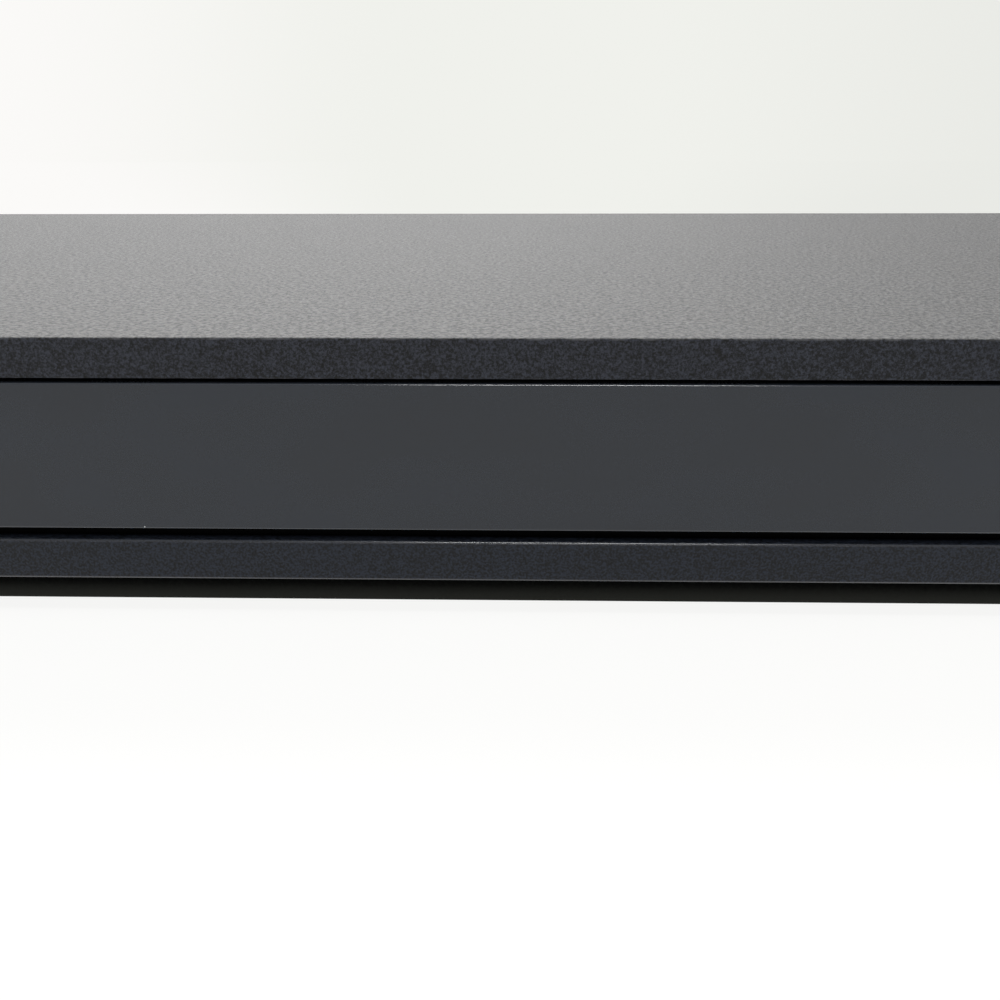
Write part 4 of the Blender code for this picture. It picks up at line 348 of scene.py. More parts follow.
@dataclass(frozen=True)
class SheetMetal(Finish):
    """Plated or machined metal: rolling lines, spangle and dull spots."""

    roughness: float = 0.32
    lines: float = 0.0004
    along: Place = (1, 0.03, 1)
    depth: float = 0.000004

    def draw(self, desk: ShaderDesk) -> None:
        """Draw rolling lines, spangle and tarnish."""
        lines = desk.noise(self.lines, 2, self.along)
        spangle = desk.cells(0.006, "Color")
        dull = desk.noise(0.012, 4)
        darker = tuple(value * 0.78 for value in self.colour)
        tone = desk.blend(desk.span(dull * 0.6 + lines * 0.4, 0.35, 0.7), self.colour, darker)
        grey = desk.out(desk.node("ShaderNodeRGBToBW", {}, {0: spangle}))
        shine = desk.span(grey * 0.4 + lines * 0.6, 0.2, 0.8, self.roughness - 0.07, self.roughness + 0.1)
        relief = desk.bump(lines, self.depth)
        desk.close(Base_Color=tone, Roughness=shine, Metallic=1.0, Normal=relief)


@dataclass(frozen=True)
class CircuitBoard(Finish):
    """A lacquered circuit board: copper runs under the lacquer, vias and bare pads."""

    def draw(self, desk: ShaderDesk) -> None:
        """Draw runs, vias and pads."""
        runs = desk.span(desk.sum("PINGPONG", desk.axis("X"), 0.0012), 0.0005, 0.0007)
        across = desk.span(desk.sum("PINGPONG", desk.axis("Y"), 0.0012), 0.0005, 0.0007)
        zones = desk.cells(0.016, "Color")
        grey = desk.out(desk.node("ShaderNodeRGBToBW", {}, {0: zones}))
        choice = grey > 0.5
        track = runs * choice + across * (1 - choice)
        filled = desk.noise(0.02, 2) > 0.5
        track = track * filled
        via = desk.cells(0.0042) < 0.1
        lighter = tuple(value * 1.9 for value in self.colour)
        tone = desk.blend(track, self.colour, lighter)
        tone = desk.blend(via, tone, (0.55, 0.53, 0.42))
        shine = desk.span(desk.noise(0.008, 3), 0.3, 0.7, 0.3, 0.42)
        relief = desk.bump(track + via, 0.00004)
        desk.close(Base_Color=tone, Roughness=shine, Normal=relief, Coat_Weight=0.3)


@dataclass(frozen=True)
class ClearPart(Finish):
    """Glass or clear plastic: smooth, coated, with faint scratches."""

    roughness: float = 0.08
    transmission: float = 0.0
    coat: float = 0.6

    def draw(self, desk: ShaderDesk) -> None:
        """Draw faint scratches and smears."""
        scratches = desk.noise(0.0006, 2, (1, 1, 0.05))
        smear = desk.noise(0.004, 3)
        lighter = tuple(min(value * 1.15 + 0.002, 1) for value in self.colour)
        tone = desk.blend(desk.span(smear, 0.35, 0.65), self.colour, lighter)
        shine = desk.span(scratches * 0.4 + smear * 0.6, 0.3, 0.7, self.roughness, self.roughness + 0.08)
        relief = desk.bump(scratches, 0.000002)
        desk.close(
            Base_Color=tone,
            Roughness=shine,
            Normal=relief,
            Transmission_Weight=self.transmission,
            Coat_Weight=self.coat,
        )


@dataclass(frozen=True)
class WrappedFilm(Finish):
    """Film, tape or cable jacket with ridges at an even pitch."""

    pitch: float = 0.0012
    axis: str = "Z"
    roughness: float = 0.4
    second: Colour = (0.5, 0.5, 0.5)
    share: float = 0.3

    def draw(self, desk: ShaderDesk) -> None:
        """Draw ridges and slight staining."""
        ridge = desk.span(desk.sum("PINGPONG", desk.axis(self.axis), self.pitch / 2), 0, self.pitch / 4)
        stain = desk.noise(0.009, 3)
        tone = desk.blend((1 - ridge) * self.share, self.colour, self.second)
        tone = desk.blend(desk.span(stain, 0.5, 0.8) * 0.3, tone, tuple(value * 0.6 for value in self.colour))
        shine = desk.span(stain, 0.3, 0.7, self.roughness - 0.05, self.roughness + 0.1)
        desk.close(Base_Color=tone, Roughness=shine, Normal=desk.bump(ridge, 0.00005))


class Look(Enum):
    """Every finish on the player, with the record's slot that it belongs to."""

    COVER = (
        "cover_paint",
        TexturedPaint(
            "textured_cover_paint",
            (0.011, 0.0125, 0.0175),
            grain=0.00042,
            depth=0.0006,
            roughness=0.63,
            specular=0.28,
            # Partly painted light: this much dust lightens the top in place of its sheen at low angles.
            dust=0.16,
            sheen=0.04,
        ),
    )
    CHASSIS = (
        "chassis_paint",
        TexturedPaint(
            "matt_chassis_paint",
            # Painted shade: darker than black paint, so the recessed front strip under the sill reads as shade.
            (0.001, 0.0012, 0.001),
            depth=0.00004,
            roughness=0.5,
            specular=0.02,
            dust=0.01,
            # Painted highlight: light edges that brighten the lower bend as if lit by the floor.
            worn_and_lit_edge_colour=(0.13, 0.135, 0.11),
            # Painted floor light: lighter up to 4.5 mm, fading into the dark paint by 8.5 mm.
            painted_floor_light=(0.016, 0.0165, 0.0145),
            painted_floor_light_reach=(0.0045, 0.0085),
        ),
    )
    PANEL = (
        "panel_plastic",
        MouldedPlastic("smooth_front_plastic", (0.0055, 0.0085, 0.014), depth=0.0000008, roughness=0.26, specks=0.9),
    )
    SILL = (
        "sill_plastic",
        MouldedPlastic(
            "grained_front_plastic",
            (0.0065, 0.0085, 0.0135),
            grain=0.0004,
            depth=0.00015,
            roughness=0.44,
            specular=0.26,
            dust=0.0,
            spread=0.9,
            fleck=0.9,
        ),
    )
    FRAME = (
        "inner_plastic",
        # Painted shade: near black and barely reflective, so the gaps in the front read as shade.
        MouldedPlastic("painted_shade_frame_plastic", (0.0015, 0.0015, 0.0016), depth=0.00001, roughness=0.7, specular=0.05),
    )
    INNER = (
        "inner_plastic",
        MouldedPlastic("inner_frame_plastic", (0.012, 0.012, 0.0125), depth=0.000015, roughness=0.55),
    )
    BLACK = (
        "black_plastic",
        MouldedPlastic("moulded_black_plastic", (0.014, 0.014, 0.0145), depth=0.00002, roughness=0.46),
    )
    GEAR = ("gear_plastic", MouldedPlastic("pale_gear_plastic", (0.72, 0.71, 0.66), roughness=0.38, spread=0.05))
    RUBBER = (
        "rubber",
        MouldedPlastic("pad_rubber", (0.018, 0.018, 0.018), grain=0.0005, depth=0.00004, roughness=0.82, specular=0.3),
    )
    PLATED = ("plated_metal", SheetMetal("plated_steel", (0.6, 0.6, 0.58)))
    SINK = (
        "sink_metal",
        SheetMetal("anodised_sink", (0.035, 0.035, 0.037), roughness=0.42, along=(1, 1, 0.03)),
    )
    BOARD = ("board", CircuitBoard("lacquered_board", (0.012, 0.07, 0.028)))
    WINDOW = ("window", ClearPart("infrared_window", (0.006, 0.003, 0.005), roughness=0.06, coat=1.0))
    PIPE = ("light_pipe", ClearPart("clear_light_pipe", (0.75, 0.78, 0.8), roughness=0.12, transmission=0.6))
    LENS = ("lens_glass", ClearPart("pickup_lens", (0.35, 0.42, 0.6), roughness=0.03, transmission=0.75, coat=1.0))
    TAPE = ("tape", WrappedFilm("transformer_tape", (0.6, 0.38, 0.03), pitch=0.004, second=(0.4, 0.22, 0.02)))
    SLEEVE = ("sleeve", WrappedFilm("capacitor_sleeve", (0.012, 0.016, 0.05), pitch=0.02, share=0.06))
    RIBBON = (
        "ribbon",
        WrappedFilm("ribbon_film", (0.68, 0.68, 0.66), pitch=0.001, axis="Y", second=(0.4, 0.42, 0.5), share=0.5),
    )
    WIRE = ("wire", WrappedFilm("wire_jacket", (0.3, 0.015, 0.012), pitch=0.003, axis="X", second=(0.2, 0.01, 0.01)))
    SCREW = ("screw_metal", SheetMetal("blackened_screw", (0.05, 0.05, 0.052), roughness=0.36, lines=0.0002))
    MARK = ("mark", MouldedPlastic("printed_mark", (0.42, 0.43, 0.44), grain=0.0001, roughness=0.5, spread=0.05))
    CONTACT = ("contact", SheetMetal("gilt_contact", (0.75, 0.52, 0.2), roughness=0.25, lines=0.0002))

    @property
    def slot(self) -> str:
        """The record's slot."""
        return self.value[0]

    @property
    def material(self) -> bpy.types.Material:
        """The finish's material."""
        return self.value[1].material()


def turn_to(axis: str) -> Matrix:
    """The turn that lays the Z axis along another one.

    Args:
        axis: X, Y or Z.

    Returns:
        The turn.
    """
    if axis == "X":
        return Matrix.Rotation(QUARTER, 4, "Y")
    if axis == "Y":
        return Matrix.Rotation(-QUARTER, 4, "X")
    return Matrix.Identity(4)


def arc(centre: Place, radius: float, start: float, end: float, steps: int) -> Outline:
    """Points on an arc.

    Args:
        centre: the arc's centre in its plane.
        radius: its radius.
        start: its first angle.
        end: its last angle.
        steps: how many chords it has.

    Returns:
        The points, both ends included.
    """
    angles = [start + (end - start) * step / steps for step in range(steps + 1)]
    return [(centre[0] + radius * math.cos(a), centre[1] + radius * math.sin(a)) for a in angles]


def rounded(left: float, right: float, low: float, high: float, radius: float, steps: int = 6) -> Outline:
    """A rectangle's outline with rounded corners.

    Args:
        left: its first side.
        right: the side across.
        low: its lower side.
        high: its upper side.
        radius: the corners' radius.
        steps: chords in each corner.

    Returns:
        The outline, anticlockwise.
    """
    points: Outline = []
    corners = [
        (right - radius, high - radius),
        (left + radius, high - radius),
        (left + radius, low + radius),
        (right - radius, low + radius),
    ]
    for turn, corner in enumerate(corners):
        points += arc(corner, radius, turn * QUARTER, (turn + 1) * QUARTER, steps)
    return points


def stadium(first: Place, second: Place, radius: float, steps: int = 10) -> Outline:
    """A slot's outline with round ends.

    Args:
        first: the middle of one end.
        second: the middle of the other end.
        radius: the ends' radius.
        steps: chords in each end.

    Returns:
        The outline.
    """
    angle = math.atan2(second[1] - first[1], second[0] - first[0])
    return arc(first, radius, angle + QUARTER, angle + 3 * QUARTER, steps) + arc(
        second, radius, angle - QUARTER, angle + QUARTER, steps
    )


class Blank:
    """A solid on the bench: drawn, cut, joined, rounded, and then set on the player."""

    def __init__(self, name: str, shape: bmesh.types.BMesh) -> None:
        """Put a drawn shape on the bench."""
        bmesh.ops.recalc_face_normals(shape, faces=shape.faces)
        mesh = bpy.data.meshes.new(name)
        shape.to_mesh(mesh)
        shape.free()
        self.item = bpy.data.objects.new(name, mesh)
        bpy.context.scene.collection.objects.link(self.item)

    @classmethod
    def box(cls, name: str, low: Place, high: Place) -> "Blank":
        """A block, as stock for cutting and rounding.

        Args:
            name: the piece's name.
            low: its lowest corner.
            high: its highest corner.

        Returns:
            The block.
        """
        shape = bmesh.new()
        bmesh.ops.create_cube(shape, size=1)
        size = Vector(high) - Vector(low)
        bmesh.ops.scale(shape, verts=shape.verts, vec=size)
        bmesh.ops.translate(shape, verts=shape.verts, vec=(Vector(low) + Vector(high)) / 2)
        return cls(name, shape)

    @classmethod
    def prism(cls, name: str, outline: Outline, start: float, end: float, axis: str = "Z") -> "Blank":
        """An outline drawn out along an axis.

        Args:
            name: the piece's name.
            outline: (x, y) points for Z, (x, z) for Y and (y, z) for X.
            start: where it starts along the axis.
            end: where it ends.
            axis: X, Y or Z.

        Returns:
            The solid.
        """
        order = {"X": (2, 0, 1), "Y": (0, 2, 1), "Z": (0, 1, 2)}[axis]
        shape = bmesh.new()
        rings = []
        for along in (start, end):
            spots = [(first, second, along) for first, second in outline]
            rings.append([shape.verts.new(tuple(spot[i] for i in order)) for spot in spots])
        shape.faces.new(rings[0])
        shape.faces.new(rings[1][::-1])
        for index in range(len(outline)):
            after = (index + 1) % len(outline)
            shape.faces.new((rings[0][index], rings[1][index], rings[1][after], rings[0][after]))
        return cls(name, shape)

    @classmethod
    def lathe(cls, name: str, base: Place, profile: Outline, axis: str = "Z", sides: int = 48) -> "Blank":
        """A turned solid.

        Args:
            name: the piece's name.
            base: where its axis starts.
            profile: (radius, height) points from axis to axis, or a closed loop off the axis.
            axis: X, Y or Z.
            sides: how many faces go round.

        Returns:
            The solid.
        """
        shape = bmesh.new()
        closed = min(radius for radius, _ in profile) > 0
        points = [shape.verts.new((radius, 0, height)) for radius, height in profile]
        pairs = list(zip(points, points[1:] + points[:1])) if closed else list(zip(points, points[1:]))
        edges = [shape.edges.new(pair) for pair in pairs]
        bmesh.ops.spin(
            shape, geom=points + edges, cent=(0, 0, 0), axis=(0, 0, 1), angle=math.tau, steps=sides, use_merge=True
        )
        bmesh.ops.remove_doubles(shape, verts=shape.verts, dist=0.00001)
        bmesh.ops.transform(shape, matrix=Matrix.Translation(Vector(base)) @ turn_to(axis), verts=shape.verts)
        return cls(name, shape)

    @classmethod
    def tube(cls, name: str, points: Sequence[Place], radius: float, sides: int = 8) -> "Blank":
        """A round wire, closed at both ends.

        Args:
            name: the piece's name.
            points: its middle line.
            radius: its radius.
            sides: how many faces go round.

        Returns:
            The wire.
        """
        shape = bmesh.new()
        rings = []
        for index, point in enumerate(points):
            before = Vector(points[max(index - 1, 0)])
            after = Vector(points[min(index + 1, len(points) - 1)])
            turn = (after - before).to_track_quat("Z", "Y").to_matrix()
            ring = []
            for step in range(sides):
                angle = math.tau * step / sides
                offset = turn @ Vector((radius * math.cos(angle), radius * math.sin(angle), 0))
                ring.append(shape.verts.new(Vector(point) + offset))
            rings.append(ring)
        for near, far in zip(rings, rings[1:]):
            for step in range(sides):
                after_step = (step + 1) % sides
                shape.faces.new((near[step], near[after_step], far[after_step], far[step]))
        shape.faces.new(rings[0])
        shape.faces.new(rings[-1])
        return cls(name, shape)

    def settle(self) -> "Blank":
        """Work the waiting modifiers into the mesh.

        Returns:
            The same solid.
        """
        ready = self.item.evaluated_get(bpy.context.evaluated_depsgraph_get())
        mesh = bpy.data.meshes.new_from_object(ready)
        self.item.modifiers.clear()
        self.item.data = mesh
        return self

    def work(self, operation: str, tools: Iterable["Blank"]) -> "Blank":
        """Cut or join tools in one go and clear them from the bench.

        Args:
            operation: DIFFERENCE or UNION.
            tools: the shapes, none of which may overlap another.

        Returns:
            The same solid.
        """
        tool = gather(list(tools))
        change = self.item.modifiers.new(operation.lower(), "BOOLEAN")
        change.operation = operation
        change.solver = "EXACT"
        change.object = tool.item
        self.settle()
        tool.scrap()
        return self

    def cut(self, *tools: "Blank") -> "Blank":
        """Take the tools' shapes out."""
        return self.work("DIFFERENCE", tools)

    def join(self, *tools: "Blank") -> "Blank":
        """Add the tools' shapes."""
        return self.work("UNION", tools)

    def round(self, radius: float, steps: int = 3, sharper: float = 30) -> "Blank":
        """Round every sharp edge.

        Args:
            radius: the rounding's width.
            steps: how many faces it has.
            sharper: the least angle in degrees that is rounded.

        Returns:
            The same solid.
        """
        bevel = self.item.modifiers.new("rounding", "BEVEL")
        bevel.width = radius
        bevel.segments = steps
        bevel.limit_method = "ANGLE"
        bevel.angle_limit = math.radians(sharper)
        bevel.use_clamp_overlap = False
        bevel.miter_outer = "MITER_ARC"
        return self.settle()

    def scrap(self) -> None:
        """Clear it from the bench."""
        bpy.data.objects.remove(self.item)

    def mark_edges(self) -> None:
        """Mark the vertices inside rounded edges, for wear, polished edges and, on the chassis, a painted edge
        highlight.
        """
        mesh = self.item.data
        largest = [0.0] * len(mesh.vertices)
        for face in mesh.polygons:
            for corner in face.vertices:
                width = min(face.area * 1e6, face.area / max_side(mesh, face) * 1e3)
                largest[corner] = max(largest[corner], width)
        marks = mesh.attributes.new("worn_edge", "FLOAT", "POINT")
        for vertex, width in enumerate(largest):
            marks.data[vertex].value = 1.0 if width < 0.3 else 0.0

    def set_on(self, body: str, look: Look, *nodes: str, smooth: float = 40, wear: bool = False) -> bpy.types.Object:
        """Finish the piece and set it on the player.

        Args:
            body: the body that carries it.
            look: its finish.
            nodes: the solids that it stands for.
            smooth: the sharpest bend in degrees that is shaded smooth.
            wear: whether its rounded edges are marked for wear.

        Returns:
            The piece.
        """
        if wear:
            self.mark_edges()
        mesh = self.item.data
        mesh.shade_smooth()
        mesh.set_sharp_from_angle(angle=math.radians(smooth))
        even = self.item.modifiers.new("even_shading", "WEIGHTED_NORMAL")
        even.keep_sharp = True
        even.weight = 80
        self.settle()
        self.item.data.materials.clear()
        self.item.data.materials.append(look.material)
        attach(self.item, body)
        if nodes:
            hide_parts(*nodes)
        LOG.info("%s rides on %s", self.item.name, body)
        return self.item


def max_side(mesh: bpy.types.Mesh, face: bpy.types.MeshPolygon) -> float:
    """The longest side of a face."""
    spots = [mesh.vertices[corner].co for corner in face.vertices]
    return max((a - b).length for a, b in zip(spots, spots[1:] + spots[:1]))


def gather(blanks: Sequence[Blank]) -> Blank:
    """Put several separate shapes into one blank.

    Args:
        blanks: the shapes; all but the first are used up.

    Returns:
        The first blank, holding them all.
    """
    first = blanks[0]
    if len(blanks) > 1:
        shape = bmesh.new()
        for blank in blanks:
            shape.from_mesh(blank.item.data)
        shape.to_mesh(first.item.data)
        shape.free()
        for blank in blanks[1:]:
            blank.scrap()
    return first


def dress_solid(look: Look, *nodes: str) -> None:
    """Give carried-over solids a finish and softened edges.

    Args:
        look: the finish.
        nodes: the solids' names.
    """
    for name in nodes:
        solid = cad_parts[name]
        for slot in solid.material_slots:
            slot.material = look.material
        if not solid.material_slots:
            solid.data.materials.append(look.material)
        bevel = solid.modifiers.new("softened_edges", "BEVEL")
        bevel.width = 0.00012
        bevel.segments = 2
        bevel.limit_method = "ANGLE"
        bevel.angle_limit = math.radians(40)
        LOG.info("%s keeps its solid", name)


@dataclass(frozen=True)
class Plan:
    """The player's main sizes, as its solids have them."""

    half_width: float = 0.215
    front: float = -0.1325
    back: float = 0.1325
    top: float = 0.054
    sheet: float = 0.001
    inner: float = 0.2137
    floor: float = 0.004
    floor_top: float = 0.005
    lip_bottom: float = 0.04695
    panel_bottom: float = 0.01915
    panel_top: float = 0.04615
    panel_back: float = -0.1295
    panel_middle: float = 0.03265
    sill_bottom: float = 0.0092
    sill_top: float = 0.01705
    panel_half: float = 0.118
    fascia_inner: float = 0.1183


PLAN = Plan()


def cross_recess(name: str, spot: Place, radius: float, depth: float, axis: str) -> Blank:
    """A cross-shaped driver recess.

    Args:
        name: the cutter's name.
        spot: the middle of its mouth.
        radius: the radius of the screw's head.
        depth: how deep it goes.
        axis: X, Y or Z, along which it is cut.

    Returns:
        The cutter.
    """
    half = radius * 0.17
    arms = []
    for index, (wide, tall) in enumerate(((radius * 0.62, half), (half, radius * 0.62))):
        outline = [(-wide, -tall), (wide, -tall), (wide, tall), (-wide, tall)]
        arm = Blank.prism(f"{name}_arm_{index}", outline, -depth, depth)
        arm.item.data.transform(Matrix.Translation(Vector(spot)) @ turn_to(axis))
        arms.append(arm)
    return arms[0].join(arms[1])


@dataclass
class Screw:
    """A machine screw's head with a cross recess, its face towards minus the named axis."""

    name: str
    spot: Place
    axis: str = "Y"
    outward: float = 1.0
    radius: float = 0.003
    rise: float = 0.0014
    flat: bool = False

    def make(self, body: str = "case") -> bpy.types.Object:
        """Turn the head, cut its recess and set it on.

        Args:
            body: the body that carries it.

        Returns:
            The screw.
        """
        if self.flat:
            profile = [(0, -0.0012), (self.radius * 0.5, -0.0012), (self.radius, -0.0001)]
            profile += [(self.radius * 0.97, 0), (0, 0)]
            mouth = 0.0
        else:
            dome = arc((0, 0), 1, 0, QUARTER, 6)
            profile = [(0, 0)] + [(self.radius * max(x, 0), self.rise * (0.35 + 0.65 * y)) for x, y in dome[:-1]]
            profile += [(0, self.rise)]
            profile.insert(1, (self.radius, 0))
            mouth = self.rise
        head = Blank.lathe(self.name, (0, 0, 0), profile, "Z", 32)
        head.cut(cross_recess(f"{self.name}_recess", (0, 0, mouth), self.radius, 0.0009, "Z"))
        turn = turn_to(self.axis)
        if self.outward < 0:
            turn = turn @ Matrix.Rotation(math.pi, 4, "X")
        head.item.data.transform(Matrix.Translation(Vector(self.spot)) @ turn)
        return head.set_on(body, Look.SCREW)


@dataclass
class TopCover:
    """The folded steel cover: top, sides and front lip in one sheet."""

    bend: float = 0.00045
    edge: float = 0.00018
    seam: float = 0.0003
    foot_gap: float = 0.0006
    side_screws: tuple[float, ...] = (-0.062, 0.094)
    screw_height: float = 0.0112

    def make(self) -> None:
        """Fold the sheet, slit its corners, sink its screws and finish it."""
        half, front, back, top = PLAN.half_width, PLAN.front, PLAN.back, PLAN.top
        cover = Blank.box("top_cover_sheet", (-half, front, PLAN.floor_top), (half, back + OVERRUN, top))
        cover.round(self.bend, 6)
        sheet = PLAN.sheet
        hollow = Blank.box(
            "cover_hollow", (sheet - half, front + sheet, -OVERRUN), (half - sheet, back + 2 * OVERRUN, top - sheet)
        )
        hollow.round(self.bend / 2, 3)
        opening = Blank.box(
            "cover_opening",
            (sheet - half, front - OVERRUN, -OVERRUN),
            (half - sheet, front + 2 * sheet, PLAN.lip_bottom),
        )
        rear = Blank.box(
            "cover_rear", (-half - OVERRUN, back, -OVERRUN), (half + OVERRUN, back + 3 * OVERRUN, top + OVERRUN)
        )
        foot = Blank.box(
            "cover_foot",
            (-half - OVERRUN, front - OVERRUN, -OVERRUN),
            (half + OVERRUN, back + OVERRUN, PLAN.floor_top + self.foot_gap),
        )
        cover.cut(hollow)
        cover.cut(opening)
        cover.cut(rear)
        cover.cut(foot)
        slits = []
        sinks = []
        for side in (-1, 1):
            middle = side * (half - sheet - 1.5 * self.seam)
            low = (middle - self.seam / 2, front - OVERRUN, PLAN.lip_bottom - OVERRUN)
            high = (middle + self.seam / 2, front + sheet + self.seam, top - 1.7 * sheet)
            slits.append(Blank.box(f"corner_slit_{side}", low, high))
            for index, y in enumerate(self.side_screws):
                profile = [(0, 0), (0.0016, 0), (0.0033, 0.0012), (0.0033, 0.003), (0, 0.003)]
                sink = Blank.lathe(f"side_sink_{side}_{index}", (0, 0, 0), profile, "X", 32)
                turn = Matrix.Rotation(math.pi, 4, "Z") if side < 0 else Matrix.Identity(4)
                place = Matrix.Translation(Vector((side * (half - 0.0012), y, self.screw_height)))
                sink.item.data.transform(place @ turn)
                sinks.append(sink)
        cover.cut(*slits)
        cover.cut(*sinks)
        cover.round(self.edge, 3, 50)
        cover.set_on("case", Look.COVER, "top_cover", wear=True)
        for side in (-1, 1):
            for index, y in enumerate(self.side_screws):
                spot = (side * (half - 0.0001), y, self.screw_height)
                Screw(f"side_screw_{side + 1}_{index}", spot, "X", float(side), flat=True).make()


@dataclass
class FrontBars:
    """The sill and the tray's wide panel, each with finely rounded edges and a cored back."""

    edge: float = 0.0004
    sill_edge: float = 0.0005
    pocket_depth: float = 0.0012
    rib: float = 0.0012

    def cored(self, name: str, left: float, right: float, low: float, high: float, cells: int, edge: float) -> Blank:
        """A bar with a row of shallow pockets moulded into its back.

        Args:
            name: the piece's name.
            left: its left end.
            right: its right end.
            low: its lower edge.
            high: its upper edge.
            cells: how many pockets.
            edge: its edges' radius.

        Returns:
            The bar.
        """
        bar = Blank.box(name, (left, PLAN.front, low), (right, PLAN.panel_back, high)).round(edge, 5)
        pitch = (right - left - 2 * self.rib) / cells
        pockets = []
        for index in range(cells):
            start = left + self.rib + index * pitch + self.rib / 2
            outline = rounded(start, start + pitch - self.rib, low + 1.5 * self.rib, high - 1.5 * self.rib, 0.0006, 3)
            depth = PLAN.panel_back - self.pocket_depth
            pockets.append(Blank.prism(f"{name}_pocket_{index}", outline, depth, PLAN.panel_back + OVERRUN, "Y"))
        return bar.cut(*pockets)

    def make(self) -> None:
        """Make the tray's panel, the sill and the left fascia."""
        half = PLAN.panel_half
        panel = self.cored("tray_front_panel", -half, half, PLAN.panel_bottom, PLAN.panel_top, 8, self.edge)
        panel.set_on("tray", Look.PANEL, "tray_panel", wear=True)
        inner = PLAN.inner
        sill = self.cored("front_sill_bar", -inner, inner, PLAN.sill_bottom, PLAN.sill_top, 14, self.sill_edge)
        sill.set_on("case", Look.SILL, "front_sill", wear=True)
        left = self.cored("left_fascia", -inner, -PLAN.fascia_inner, PLAN.panel_bottom, PLAN.panel_top, 4, self.edge)
        left.set_on("case", Look.PANEL, "fascia_left", wear=True)


